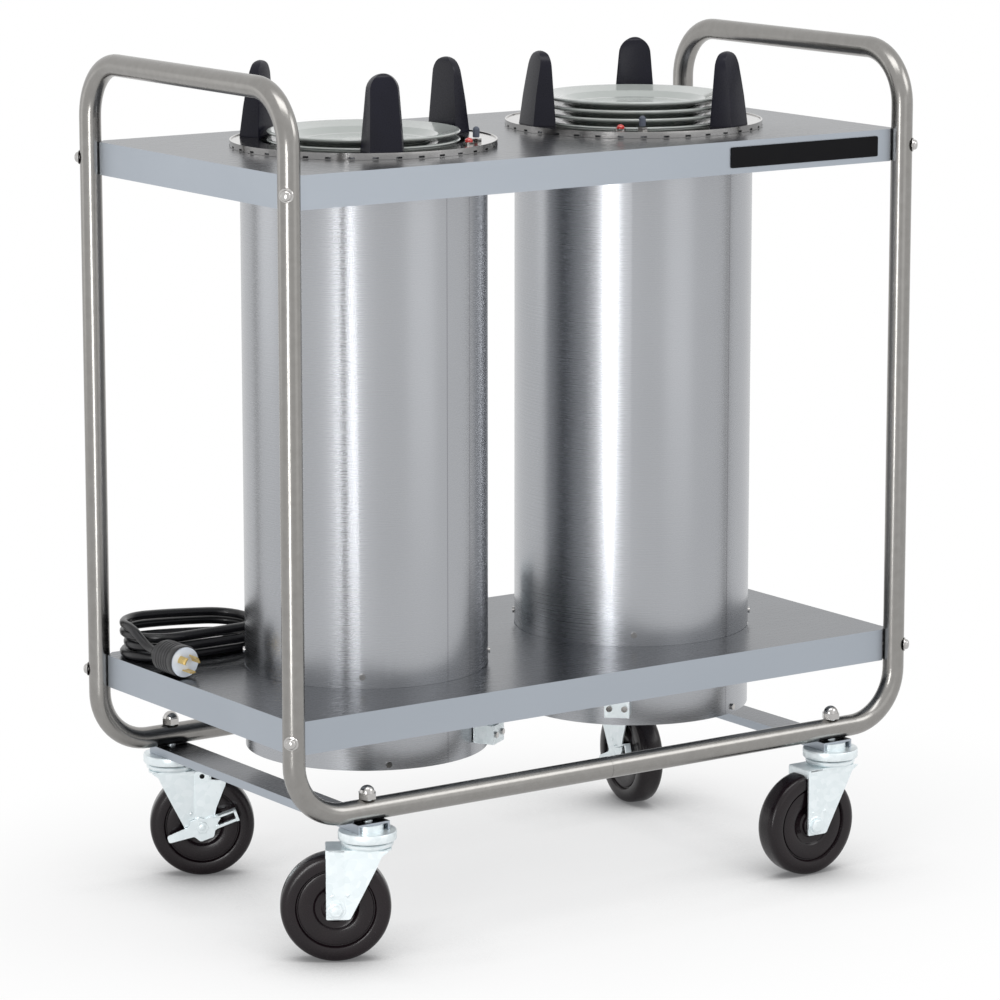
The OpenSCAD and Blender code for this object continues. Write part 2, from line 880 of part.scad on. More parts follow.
module plate_guide() {
    foot = guide_inner;
    heel = guide_inner + guide_depth;
    top_r = guide_outer_width / 2;
    side_r = guide_top_depth / 2;
    corner_y = top_r - guide_corner;
    translate([0, 0, flange_top + seat])
        intersection() {
            linear_extrude(guide_height)
                polygon([[foot, -guide_width / 2], [heel - guide_edge, -top_r],
                    [heel, -corner_y], [heel, corner_y],
                    [heel - guide_edge, top_r], [foot, guide_width / 2]]);
            translate([foot - over, 0, 0])
                rotate([90, 0, 90])
                    linear_extrude(guide_depth + 2 * over)
                        union() {
                            polygon([[-guide_width / 2, 0], [guide_width / 2, 0],
                                [top_r, guide_height - top_r], [-top_r, guide_height - top_r]]);
                            translate([0, guide_height - top_r]) circle(r = top_r);
                        }
            translate([0, guide_width, 0])
                rotate([90, 0, 0])
                    linear_extrude(2 * guide_width)
                        union() {
                            polygon([[foot, 0], [heel, 0],
                                [heel - side_r, guide_height * guide_knee_share],
                                [foot + guide_lean_in + guide_top_depth, guide_height - side_r],
                                [foot + guide_lean_in, guide_height - side_r]]);
                            translate([foot + guide_lean_in + side_r, guide_height - side_r])
                                circle(r = side_r);
                        }
        }
}

module plate_guides(side) {
    at_silo(side)
        for (turn = guide_turns)
            rotate([0, 0, turn])
                difference() {
                    plate_guide();
                    translate([guide_middle, 0, flange_top - over])
                        cylinder(r = screw_r + seat / 2, h = guide_screw_depth + over + 3 * seat);
                }
}

module left_plate_guides() {
    color("darkslategray") plate_guides(left);
}

module right_plate_guides() {
    color("darkslategray") plate_guides(right);
}

// Controls on the flange
bezel_r = 6.2;
bezel_t = 2.6;
bezel_body_r = 4;
bezel_body_length = 16;
lens_r = 4.6;
lens_height = 5;
lens_dome_r = 5.2;
switch_nut_flats = 11;
switch_nut_t = 4.5;
switch_body_r = 4.2;
switch_body_length = 18;
boot_r = 4.4;
boot_height = 12;
boot_foot = 1;
boot_lift = 0.9;

module pilot_bezels() {
    color("gainsboro")
        for (side = [left, right])
            at_silo(side)
                rotate([0, 0, pilot_turn])
                    translate([control_radius, 0, flange_top + seat]) {
                        cylinder(r = bezel_r, h = bezel_t);
                        translate([0, 0, -bezel_body_length])
                            cylinder(r = bezel_body_r, h = bezel_body_length);
                    }
}

module pilot_lenses() {
    color("red")
        for (side = [left, right])
            at_silo(side)
                rotate([0, 0, pilot_turn])
                    translate([control_radius, 0, flange_top + 2 * seat + bezel_t])
                        intersection() {
                            cylinder(r = lens_r, h = lens_height + over);
                            translate([0, 0, lens_height - lens_dome_r]) sphere(r = lens_dome_r);
                        }
}

module switch_nuts() {
    color("gray")
        for (side = [left, right])
            at_silo(side)
                rotate([0, 0, switch_turn])
                    translate([control_radius, 0, flange_top + seat]) {
                        hexagon(switch_nut_flats, switch_nut_t);
                        translate([0, 0, -switch_body_length])
                            cylinder(r = switch_body_r, h = switch_body_length);
                    }
}

module switch_lever(side) {
    at_silo(side)
        rotate([0, 0, switch_turn])
            translate([control_radius, 0, flange_top + seat + switch_nut_t + boot_lift]) {
                cylinder(r1 = boot_r - boot_foot, r2 = boot_r - boot_foot / 2, h = boot_foot);
                translate([0, 0, boot_foot])
                    cylinder(r = boot_r - boot_foot / 2, h = boot_height - boot_r);
                translate([0, 0, boot_foot + boot_height - boot_r])
                    sphere(r = boot_r - boot_foot / 2);
            }
}

module left_switch_lever() {
    color("slategray") switch_lever(left);
}

module right_switch_lever() {
    color("slategray") switch_lever(right);
}

// Carrier: platform, three straps and the lower ring that the springs pull on
platform_height = upper_deck_height - platform_drop;
carrier_ring_height = upper_deck_height - carrier_ring_drop;
strap_setback = 1;
strap_inner = flange_opening_d / 2 + strap_setback;
strap_t = 2.5;
strap_width = 18;
strap_turns = [14, 134, 254];
strap_rise = 6;
platform_rim = 12;
ring_inner = 120;
ring_outer = 133;
ring_t = 3;
tab_height = 14;
tab_hole_height = carrier_ring_height + tab_height - eye_r;

module carrier(side) {
    platform_r = platform_d / 2;
    at_silo(side)
        difference() {
            union() {
                translate([0, 0, platform_height - carrier_sheet])
                    cylinder(r = platform_r, h = carrier_sheet);
                translate([0, 0, platform_height - platform_rim])
                    difference() {
                        cylinder(r = platform_r, h = platform_rim);
                        translate([0, 0, -over])
                            cylinder(r = platform_r - carrier_sheet,
                                h = platform_rim + 2 * over);
                    }
                for (turn = strap_turns)
                    rotate([0, 0, turn]) {
                        translate([strap_inner, -strap_width / 2, carrier_ring_height])
                            cube([strap_t, strap_width,
                                platform_height + strap_rise - carrier_ring_height]);
                        translate([platform_r - carrier_sheet, -strap_width / 2,
                            platform_height - platform_rim])
                            cube([strap_inner - platform_r + carrier_sheet + strap_t / 2,
                                strap_width, platform_rim / 2]);
                    }
                translate([0, 0, carrier_ring_height])
                    difference() {
                        cylinder(r = ring_outer, h = ring_t);
                        translate([0, 0, -over])
                            cylinder(r = ring_inner, h = ring_t + 2 * over);
                    }
                for (turn = spring_turns)
                    rotate([0, 0, turn])
                        translate([hanger_radius - hanger_t / 2, -hanger_width / 2,
                            carrier_ring_height])
                            cube([hanger_t, hanger_width, tab_height]);
            }
            for (turn = spring_turns)
                rotate([0, 0, turn])
                    translate([0, 0, tab_hole_height])
                        radial_hole(eye_hole_r, hanger_radius - hanger_t,
                            hanger_radius + hanger_t);
        }
}

module left_carrier() {
    color("silver") carrier(left);
}

module right_carrier() {
    color("silver") carrier(right);
}

// Extension springs, plain bodies with an eye at each end
module spring(side) {
    top = hanger_hole_height - eye_r;
    low = tab_hole_height + eye_r;
    at_silo(side)
        for (turn = spring_turns)
            rotate([0, 0, turn])
                translate([hanger_radius, 0, 0]) {
                    for (z = [top, low])
                        translate([0, 0, z])
                            rotate([90, 0, 0])
                                rotate_extrude() translate([eye_r, 0]) circle(r = wire_r);
                    translate([0, 0, low + eye_r])
                        difference() {
                            cylinder(r = spring_d / 2, h = top - low - 2 * eye_r);
                            translate([0, 0, spring_wire_d])
                                cylinder(r = spring_d / 2 - spring_wire_d,
                                    h = top - low - 2 * eye_r - 2 * spring_wire_d);
                        }
                }
}

module left_springs() {
    color("gray") spring(left);
}

module right_springs() {
    color("gray") spring(right);
}

// Plates nest on their foot rings, one pitch apart
plate_wall = 4.4;
plate_foot_height = plate_pitch - plate_wall - seat;
plate_foot_outer = 70;
plate_foot_inner = 63;
plate_well_r = 76;
plate_rim_wall = 3.6;
plate_draft = 1;
plate_well_edge = 4;
plate_well_lift = 0.7;
plate_shoulder_share = 0.3;
plate_shoulder_height_share = 0.56;
plate_lip_shares = [[0.55, 0], [0.14, 0.3], [0, 0.6], [0.28, 0.92], [0.83, 1]];

module plate() {
    r = plate_d / 2;
    rim_under = plate_height - plate_rim_wall;
    well = plate_foot_height + plate_wall;
    shoulder = plate_well_r + (r - plate_well_r) * plate_shoulder_share;
    shoulder_height = plate_height * plate_shoulder_height_share;
    rotate_extrude($fn = 144)
        polygon(concat(
            [[0, plate_foot_height], [plate_foot_inner, plate_foot_height],
                [plate_foot_inner + plate_draft, 0], [plate_foot_outer - plate_draft, 0],
                [plate_foot_outer, plate_foot_height],
                [plate_well_r, plate_foot_height + plate_well_lift],
                [shoulder, shoulder_height]],
            [for (share = plate_lip_shares)
                [r - plate_rim_wall * share[0], rim_under + plate_rim_wall * share[1]]],
            [[shoulder - plate_draft, shoulder_height + plate_wall],
                [plate_well_r - plate_draft, well + plate_well_lift],
                [plate_well_r - plate_well_edge, well], [0, well]]));
}

module plate_stack(side, count) {
    at_silo(side)
        for (i = [0 : count - 1])
            translate([0, 0, platform_height + seat + i * plate_pitch]) plate();
}

module left_plates() {
    color("white") plate_stack(left, left_plates_count);
}

module right_plates() {
    color("white") plate_stack(right, right_plates_count);
}

// Wiring

connector_turn = -5;
connector_height = 214;
connector_nipple_r = 8;
connector_block = [26, 30, 22];
connector_gap = 0.4;
connector_mouth_r = 8;
connector_mouth_height = 9;
connector_screw_spread = 9;
connector_screw_depth = 7;
connector_nipple_reach = 3;
lead_r = 4;
lead_hole_slip = 2;
lead_drops = [[-20, 172], [20, 172]];
box_size = [90, 50, 44];
box_centre = [0, 180];
box_wall = 1.5;
box_cover_t = 1.5;
box_front_x = box_centre[0] - box_size[0] / 2;

function silo_turn(side) = side == left ? left_silo_turn : right_silo_turn;
function connector_centre(side) =
    let(p = polar(silo_r + connector_gap + connector_block[0] / 2,
        silo_turn(side) + connector_turn))
    [side * silo_offset + p[0], p[1]];

module at_connector(side) {
    at_silo(side)
        rotate([0, 0, connector_turn])
            translate([silo_r + connector_gap, 0, connector_height])
                children();
}

// Elbow cable clamp on the silo's skirt, its mouth turned up under the deck
module cable_connectors() {
    nipple = connector_gap + silo_sheet + connector_nipple_reach;
    color("lightgray")
        for (side = [left, right])
            at_connector(side)
                difference() {
                    union() {
                        translate([0, -connector_block[1] / 2, -connector_block[2] / 2])
                            cube(connector_block);
                        translate([-nipple, 0, 0])
                            rotate([0, 90, 0])
                                cylinder(r = connector_nipple_r, h = nipple + over);
                        translate([connector_block[0] / 2, 0, connector_block[2] / 2 - over])
                            cylinder(r = connector_mouth_r, h = connector_mouth_height + over);
                    }
                    translate([connector_block[0] / 2, 0, 0])
                        cylinder(r = lead_r + seat,
                            h = connector_block[2] + connector_mouth_height);
                    for (y = [-connector_screw_spread, connector_screw_spread])
                        translate([connector_block[0] - connector_screw_depth - seat, y, 0])
                            rotate([0, 90, 0])
                                cylinder(r = screw_r + seat / 2, h = connector_screw_depth + over);
                }
}

module connector_screws() {
    color("gainsboro")
        for (side = [left, right])
            at_connector(side)
                for (y = [-connector_screw_spread, connector_screw_spread])
                    translate([connector_block[0] - connector_screw_depth, y, 0])
                        rotate([0, 90, 0]) {
                            cylinder(r = screw_r, h = connector_screw_depth + over);
                            translate([0, 0, connector_screw_depth + seat / 2])
                                cylinder(r = screw_head_r, h = screw_head_t);
                        }
}

// Swept tube along a list of points, with its rings carried along by the least turn
function ring_tangents(p, first, last) =
    [for (i = [0 : len(p) - 1])
        i == 0 ? unit(first) : i == len(p) - 1 ? unit(last) :
            unit(unit(p[i + 1] - p[i]) + unit(p[i] - p[i - 1]))];
function next_normal(n, t) = unit(n - (n * t) * t);
function ring_normals(t, start) =
    [for (i = 0, n = next_normal(start, t[0]); i < len(t);
        i = i + 1, n = i < len(t) ? next_normal(n, t[i]) : n) n];

module swept_tube(p, r, sides, first, last, start) {
    t = ring_tangents(p, first, last);
    n = ring_normals(t, start);
    turns = [for (k = [0 : sides - 1]) (k + 0.5) * 360 / sides];
    points = [for (i = [0 : len(p) - 1])
        let(b = cross(t[i], n[i]))
        for (a = turns) p[i] + r * (cos(a) * n[i] + sin(a) * b)];
    walls = [for (i = [0 : len(p) - 2])
        for (k = [0 : sides - 1])
            let(a = i * sides + k, b = i * sides + (k + 1) % sides)
            each [[a, a + sides, b + sides], [a, b + sides, b]]];
    ends = [[for (k = [0 : sides - 1]) k],
        [for (k = [sides - 1 : -1 : 0]) (len(p) - 1) * sides + k]];
    polyhedron(points = points, faces = concat(walls, ends), convexity = 6);
}

// Curve through hand-chosen points, with the end directions given
function curve_at(a, b, c, d, u) =
    0.5 * (2 * b + (c - a) * u + (2 * a - 5 * b + 4 * c - d) * u * u
        + (3 * b - a - 3 * c + d) * u * u * u);
function curve(points, steps) =
    let(n = len(points) - 1,
        ends = concat([2 * points[0] - points[1]], points, [2 * points[n] - points[n - 1]]))
    concat([for (i = [0 : n - 1]) for (k = [0 : steps - 1])
        curve_at(ends[i], ends[i + 1], ends[i + 2], ends[i + 3], k / steps)], [points[n]]);

// Leads from the junction box hang below the lower deck and turn down into each connector
lead_bend = 22;
lead_stub = 3;
lead_drop_bend = 16;
lead_top = lower_deck_height + box_wall + lead_stub;
lead_mouth_top = connector_height + connector_block[2] / 2 + connector_mouth_height;
lead_level = lead_mouth_top + lead_stub + lead_bend;
lead_seat_height = lead_mouth_top - connector_mouth_height / 2;
left_lead_via = [[-18, 140], [-14, 100], [-11, 60], [-11, 20], [-13, -20], [-20, -60], [-38, -95]];
right_lead_via = [[18, 140], [14, 100], [11, 60], [11, 20], [12, -20], [18, -60], [36, -92]];

// Quarter turn between the vertical at place and the level run towards away
function lead_quarter(place, away, r, turns) =
    [for (a = turns) [place[0] + away[0] * r * (1 - cos(a)), place[1] + away[1] * r * (1 - cos(a)),
        lead_level + r * (1 - sin(a))]];
function lead_quarter_down(place, away, r, turns) =
    [for (a = turns) [place[0] - away[0] * r * (1 - cos(a)), place[1] - away[1] * r * (1 - cos(a)),
        lead_level - r * (1 - sin(a))]];
function lead_route(drop, via, mouth) =
    let(last = via[len(via) - 1], away = unit(via[0] - drop), inward = unit(mouth - last))
    concat([[drop[0], drop[1], lead_top]],
        lead_quarter(drop, away, lead_drop_bend, [0 : 22.5 : 90]),
        [for (v = via) [v[0], v[1], lead_level]],
        lead_quarter_down(mouth, inward, lead_bend, [90 : -22.5 : 0]),
        [[mouth[0], mouth[1], lead_seat_height]]);
left_lead_path = lead_route(lead_drops[0], left_lead_via, connector_centre(left));
right_lead_path = lead_route(lead_drops[1], right_lead_via, connector_centre(right));
supply_gap = min([for (p = concat(left_lead_path, right_lead_path))
    p[2] < lead_level - lead_r ? far_off :
        min([for (side = [left, right]) norm([p[0] - side * silo_offset, p[1]])])])
    - silo_r - lead_r;
echo(supply_gap = supply_gap, supply_bend = min([for (p = [left_lead_path, right_lead_path])
    tightest(p)]));

module supply_leads() {
    color("dimgray")
        for (path = [left_lead_path, right_lead_path])
            swept_tube(path, lead_r, 8, [0, 0, -1], [0, 0, -1], [1, 0, 0]);
}

module junction_box() {
    color("silver")
        translate([box_centre[0] - box_size[0] / 2, box_centre[1] - box_size[1] / 2,
            lower_deck_height + seat / 2])
            difference() {
                cube(box_size);
                translate([box_wall, box_wall, box_wall])
                    cube([box_size[0] - 2 * box_wall, box_size[1] - 2 * box_wall, box_size[2]]);
                for (place = lead_drops)
                    translate([place[0] - box_front_x,
                        place[1] - box_centre[1] + box_size[1] / 2, -over])
                        cylinder(r = lead_r + seat, h = box_wall + 2 * over);
                translate([-over, relief_exit[1] - box_centre[1] + box_size[1] / 2,
                    relief_exit[2] - lower_deck_height])
                    rotate([0, 90, 0])
                        cylinder(r = cord_r + seat, h = box_wall + 2 * over);
            }
}

module junction_box_cover() {
    screw_inset = 8;
    color("silver")
        translate([box_centre[0], box_centre[1], lower_deck_height + box_size[2] + seat]) {
            translate([-box_size[0] / 2 - box_cover_t, -box_size[1] / 2 - box_cover_t, 0])
                cube([box_size[0] + 2 * box_cover_t, box_size[1] + 2 * box_cover_t, box_cover_t]);
            for (x = [-1, 1])
                translate([x * (box_size[0] / 2 - screw_inset), 0, box_cover_t - seat])
                    cylinder(r = screw_head_r, h = screw_head_t);
        }
}

// The cord leaves the box through a strain relief, lies in a piled coil and ends in a plug
relief_length = 30;
relief_nut_t = 6;
relief_nut_flats = 22;
relief_foot_wall = 3.5;
relief_tip_wall = 0.8;
relief_neck_reach = 3;
relief_rise = 17;
relief_y = 178;
relief_exit = [box_front_x, relief_y, lower_deck_height + relief_rise];
relief_tip = relief_exit - [relief_length, 0, 0];
cord_bed = lower_deck_height + seat / 2 + cord_r;

module cord_strain_relief() {
    neck = box_wall + seat + relief_neck_reach;
    color("black")
        translate(relief_exit - [seat, 0, 0])
            rotate([0, -90, 0]) {
                hexagon(relief_nut_flats, relief_nut_t);
                translate([0, 0, relief_nut_t - over])
                    cylinder(r1 = cord_r + relief_foot_wall, r2 = cord_r + relief_tip_wall,
                        h = relief_length - seat - relief_nut_t + over);
                translate([0, 0, -neck]) cylinder(r = cord_r, h = neck + over);
            }
}

// Route of the coil: a round-ended loop whose side moves in and out as the layers climb
coil_centre = [-330, 168];
coil_half_run = 42;
coil_outer_r = 46;
coil_inner_r = 35;
coil_rise = 12;
coil_rings = 24;
coil_layers = 4;
coil_end_ring = 4;
coil_u = [1, 0];
coil_v = [0, 1];
coil_mean_r = (coil_outer_r + coil_inner_r) / 2;
coil_lap = 4 * coil_half_run + 2 * PI * coil_mean_r;
coil_f1 = 2 * coil_half_run / coil_lap;
coil_f2 = 0.5;
coil_f3 = coil_f2 + coil_f1;

function loop_point(f, r) =
    f < coil_f1 ? coil_centre + coil_half_run * (1 - 2 * f / coil_f1) * coil_u + r * coil_v :
    f < coil_f2 ? let(a = 90 + 180 * (f - coil_f1) / (coil_f2 - coil_f1))
        coil_centre - coil_half_run * coil_u + r * (cos(a) * coil_u + sin(a) * coil_v) :
    f < coil_f3 ? coil_centre + coil_half_run * (2 * (f - coil_f2) / coil_f1 - 1) * coil_u
        - r * coil_v :
    let(a = 270 + 180 * (f - coil_f3) / (1 - coil_f3))
        coil_centre + coil_half_run * coil_u + r * (cos(a) * coil_u + sin(a) * coil_v);
function coil_radius(t) =
    let(k = floor(t), f = t - k)
    k % 2 == 0 ? coil_outer_r + (coil_inner_r - coil_outer_r) * f
        : coil_inner_r + (coil_outer_r - coil_inner_r) * f;
function coil_height(t) =
    cord_bed + coil_rise * total([for (k = [1 : coil_layers - 1]) smooth(2 * (t - k) + 0.5)],
        coil_layers - 2);
function coil_point(t) =
    let(p = loop_point(t - floor(t), coil_radius(t))) [p[0], p[1], coil_height(t)];

// The coil ends on its top layer, along the rear run
coil_last = coil_layers - 1 + coil_end_ring / coil_rings;
coil_path = [for (i = [0 : coil_last * coil_rings]) coil_point(i / coil_rings)];
coil_fine_step = 1 / (4 * coil_rings);
coil_fine = [for (t = [0 : coil_fine_step : coil_last]) coil_point(t)];
coil_start = coil_path[0];
coil_end = coil_path[len(coil_path) - 1];
coil_start_heading = unit(coil_fine[1] - coil_fine[0]);
coil_end_heading = unit(coil_fine[len(coil_fine) - 1] - coil_fine[len(coil_fine) - 2]);

// Free stretches, points chosen by hand between the fixed ends
plug_x = -412;
plug_rest_y = 45;
plug_axis = [plug_x, 0, lower_deck_height + plug_d / 2 + seat];
plug_face_t = 3;
plug_neck = 17;
plug_tail = [plug_x, plug_rest_y + plug_face_t + plug_length + plug_neck, plug_axis[2]];
lead_points = concat(
    [relief_tip],
    [[-85, 178, 301], [-93, 178, 300.3], [-101, 178, 298.2], [-108, 178, 295.2], [-115, 178, 292],
        [-123, 178, 289.9], [-132, 178, 289.3], [-150, 178, 289.3], [-170, 178, 289.3],
        [-188, 178, 289.3], [-198, 178.8, 289.3], [-208, 181.5, 289.3], [-218, 187, 289.3],
        [-226, 194.3, 289.3], [-234, 202.7, 289.3], [-244, 209.3, 289.3], [-255, 213, 289.3],
        [-267, 214, 289.3]],
    [coil_start]);
tail_points = concat(
    [coil_end],
    [[-374, 205, 325.1], [-388, 202.8, 325.3], [-400.3, 196.6, 325.3], [-410, 187, 325.3],
        [-416, 175.5, 325.3], [-418.2, 166, 325.2], [-418.6, 156.3, 324], [-418, 146.2, 320.5],
        [-416.4, 137, 314.3], [-414.3, 128, 308.3], [-412.6, 118, 304.6]],
    [plug_tail]);
lead_path = curve(lead_points, 2);
tail_path = curve(tail_points, 2);

// Least distances, measured on points, from centreline to centreline less one diameter
function gap_to_coil(path, joint) = min([for (p = cord_sample(path, 3)) for (q = coil_fine)
    norm(p - joint) < 3 * cord_d && norm(q - joint) < 3 * cord_d ? far_off : norm(p - q)]) - cord_d;
coil_apart = round(3 * cord_d / (coil_lap * coil_fine_step));
coil_gap = min([for (i = [0 : len(coil_fine) - 1 - coil_apart])
    for (k = [i + coil_apart : len(coil_fine) - 1]) norm(coil_fine[i] - coil_fine[k])]) - cord_d;
silo_gap = min([for (p = concat(coil_fine, lead_path, tail_path))
    norm([p[0] + silo_offset, p[1]])]) - silo_r - cord_r;
post_gap = min([for (p = concat(coil_fine, tail_path))
    norm([p[0] + half_length, p[1] - half_depth])]) - tube_r - cord_r;
cord_length = path_length(lead_path) + path_length(coil_fine) + path_length(tail_path);
echo(coil_gap = coil_gap, lead_gap = gap_to_coil(lead_path, coil_start),
    tail_gap = gap_to_coil(tail_path, coil_end), silo_gap = silo_gap, post_gap = post_gap);
echo(cord_length = cord_length, lead_length = path_length(lead_path),
    coil_length = path_length(coil_fine), tail_length = path_length(tail_path));
echo(lead_bend_least = tightest(lead_path), coil_bend_least = tightest(coil_fine),
    tail_bend_least = tightest(tail_path));

module cord_lead() {
    color("black")
        swept_tube(lead_path, cord_r, 10, [-1, 0, 0], coil_start_heading, [0, 0, 1]);
}

module cord_coil() {
    color("black")
        swept_tube(coil_path, cord_r, 6, coil_start_heading, coil_end_heading, [0, 0, 1]);
}

module cord_tail() {
    color("black")
        swept_tube(tail_path, cord_r, 10, coil_end_heading, [0, -1, 0], [0, 0, 1]);
}

module at_plug() {
    translate([plug_x, plug_rest_y, plug_axis[2]])
        rotate([-90, 0, 0])
            children();
}

plug_neck_r = 9;
plug_face_r = 17.5;
plug_face_proud = 1;
plug_shoulder = 5;
blade_circle_r = 9.5;
blade_t = 1.6;
blade_length = 16;
blade_sweep = 50;

module plug_body() {
    shell = plug_face_t + plug_length;
    color("black")
        at_plug()
            difference() {
                union() {
                    cylinder(r = plug_d / 2, h = shell);
                    translate([0, 0, shell - over / 2])
                        cylinder(r1 = plug_d / 2 - plug_shoulder, r2 = plug_neck_r,
                            h = plug_neck + over / 2);
                }
                translate([0, 0, -over])
                    cylinder(r = plug_face_r + seat, h = plug_face_t + over);
            }
}

module plug_face() {
    color("white")
        at_plug()
            translate([0, 0, -plug_face_proud])
                cylinder(r = plug_face_r, h = plug_face_t + plug_face_proud - seat / 2);
}

module plug_blades() {
    color("goldenrod")
        at_plug()
            for (turn = [90, 210, 330])
                rotate([0, 0, turn - blade_sweep / 2])
                    translate([0, 0, -plug_face_proud - seat / 2 - blade_length])
                        rotate_extrude(angle = blade_sweep)
                            translate([blade_circle_r - blade_t / 2, 0])
                                square([blade_t, blade_length]);
}

left_frame_tube();
right_frame_tube();
rail_couplers();
upper_deck();
lower_deck();
deck_bolts();
deck_nuts();
left_cross_brace();
right_cross_brace();
caster_acorn_nuts();
caster_stems();
left_silo_tube();
right_silo_tube();
left_silo_base();
right_silo_base();
left_flange();
right_flange();
left_plate_guides();
right_plate_guides();
silo_screws();
left_heater();
right_heater();
left_carrier();
right_carrier();
left_plates();
right_plates();
left_springs();
right_springs();
pilot_bezels();
pilot_lenses();
switch_nuts();
left_switch_lever();
right_switch_lever();
cable_connectors();
connector_screws();
supply_leads();
junction_box();
junction_box_cover();
cord_strain_relief();
cord_lead();
cord_coil();
cord_tail();
plug_body();
plug_face();
plug_blades();
name_plate();
front_left_fork();
front_right_fork();
rear_left_fork();
rear_right_fork();
front_left_axle();
front_right_axle();
rear_left_axle();
rear_right_axle();
front_left_wheel();
front_right_wheel();
rear_left_wheel();
rear_right_wheel();
rear_left_brake();
rear_right_brake();
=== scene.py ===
# %% [markdown]
# A plate dispenser cart is a bent tube frame that carries two folded sheet metal decks. Two round
# silos hang through both decks, and a sprung carrier in each one lifts a stack of plates to hand
# height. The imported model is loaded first, so that every piece here can be fitted to it.

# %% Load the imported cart
import math

import bpy
import bmesh
from mathutils import Matrix, Vector


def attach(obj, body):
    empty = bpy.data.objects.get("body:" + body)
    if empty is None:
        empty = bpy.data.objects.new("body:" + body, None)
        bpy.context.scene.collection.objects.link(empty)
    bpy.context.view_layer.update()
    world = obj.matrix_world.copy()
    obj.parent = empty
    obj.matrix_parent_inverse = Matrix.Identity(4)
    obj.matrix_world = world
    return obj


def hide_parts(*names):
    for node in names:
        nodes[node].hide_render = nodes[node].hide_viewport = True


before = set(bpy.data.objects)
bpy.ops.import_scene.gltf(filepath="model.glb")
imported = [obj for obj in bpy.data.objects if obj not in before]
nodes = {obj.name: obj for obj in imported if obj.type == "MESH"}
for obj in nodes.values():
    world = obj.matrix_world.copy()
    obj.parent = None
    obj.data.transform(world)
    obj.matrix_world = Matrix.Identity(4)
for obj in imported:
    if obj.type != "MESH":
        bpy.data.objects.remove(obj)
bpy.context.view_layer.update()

# %% [markdown]
# The photograph was taken from the front left, a little above the decks. A long lens far away
# keeps the posts nearly parallel, so the focal length and the distance matter as much as the
# angle. The camera is built from its own axes, because that leaves no doubt about its roll.

# %% Camera
view_turn, view_drop = math.radians(34.82), math.radians(10.65)
looking = Vector((math.sin(view_turn) * math.cos(view_drop),
                  math.cos(view_turn) * math.cos(view_drop), -math.sin(view_drop)))
camera_data = bpy.data.cameras.new("camera")
camera_data.sensor_width = 36.0
camera_data.lens = 161.15
camera_data.shift_x = -0.005
camera_data.shift_y = -0.0162
camera_data.clip_start, camera_data.clip_end = 0.1, 60.0
camera = bpy.data.objects.new("camera", camera_data)
bpy.context.scene.collection.objects.link(camera)
camera.location = (-2.9763, -4.2866, 1.4559)
camera.rotation_mode = "QUATERNION"
camera.rotation_quaternion = looking.to_track_quat("-Z", "Y")
bpy.context.scene.camera = camera
print("camera looks along", [round(v, 3) for v in looking])

# %% [markdown]
# The power cord comes out of the junction box, lies in a piled coil behind the left silo and ends
# in a locking plug. A stiff rubber lead keeps wide bends, so the coil is an oval whose turns
# spiral in and out while they climb, and the free stretches pass through listed points.

# %% Cord route
cord_across = 0.0104
cord_rest = 0.2893  # height of the cord's middle where it lies on the lower deck
coil_middle = Vector((-0.330, 0.168))
coil_half_run, coil_wide, coil_narrow, coil_rise = 0.042, 0.046, 0.035, 0.012
coil_layers, coil_rings, coil_end_ring = 4, 24, 4
coil_lap = 4 * coil_half_run + math.pi * (coil_wide + coil_narrow)
run_share = 2 * coil_half_run / coil_lap


def smooth(x):
    x = min(1.0, max(0.0, x))
    return x * x * (3 - 2 * x)


def coil_point(t):
    """A point of the coil after t turns, in metres."""
    k, f = int(math.floor(t)), t - math.floor(t)
    inward = coil_wide + (coil_narrow - coil_wide) * f
    r = inward if k % 2 == 0 else coil_wide + coil_narrow - inward
    if f < run_share:
        x, y = coil_half_run * (1 - 2 * f / run_share), r
    elif f < 0.5:
        a = math.radians(90 + 180 * (f - run_share) / (0.5 - run_share))
        x, y = -coil_half_run + r * math.cos(a), r * math.sin(a)
    elif f < 0.5 + run_share:
        x, y = coil_half_run * (2 * (f - 0.5) / run_share - 1), -r
    else:
        a = math.radians(270 + 180 * (f - 0.5 - run_share) / (0.5 - run_share))
        x, y = coil_half_run + r * math.cos(a), r * math.sin(a)
    climb = sum(smooth(2 * (t - n) + 0.5) for n in range(1, coil_layers))
    return Vector((coil_middle.x + x, coil_middle.y + y, cord_rest + coil_rise * climb))


def curve_through(points, steps):
    """A smooth line through given points."""
    p = [2 * points[0] - points[1], *points, 2 * points[-1] - points[-2]]
    out = []
    for i in range(len(points) - 1):
        a, b, c, d = p[i:i + 4]
        for s in range(steps):
            u = s / steps
            out.append(0.5 * (2 * b + (c - a) * u + (2 * a - 5 * b + 4 * c - d) * u * u
                              + (3 * b - a - 3 * c + d) * u ** 3))
    return out + [points[-1]]


def millimetres(rows):
    return [Vector(r) / 1000 for r in rows]


coil_last = coil_layers - 1 + coil_end_ring / coil_rings
coil_line = [coil_point(i / (2 * coil_rings)) for i in range(int(coil_last * 2 * coil_rings) + 1)]
box_exit = Vector((-0.075, 0.178, 0.301))
lead_line = curve_through([box_exit] + millimetres([
    (-85, 178, 301), (-93, 178, 300.3), (-101, 178, 298.2), (-108, 178, 295.2), (-115, 178, 292),
    (-123, 178, 289.9), (-132, 178, 289.3), (-150, 178, 289.3), (-170, 178, 289.3),
    (-188, 178, 289.3), (-198, 178.8, 289.3), (-208, 181.5, 289.3), (-218, 187, 289.3),
    (-226, 194.3, 289.3), (-234, 202.7, 289.3), (-244, 209.3, 289.3), (-255, 213, 289.3),
    (-267, 214, 289.3)]) + [coil_line[0]], 3)
plug_axis = Vector((-0.412, 0.0, 0.3032))
plug_front, plug_back = 0.045, 0.107
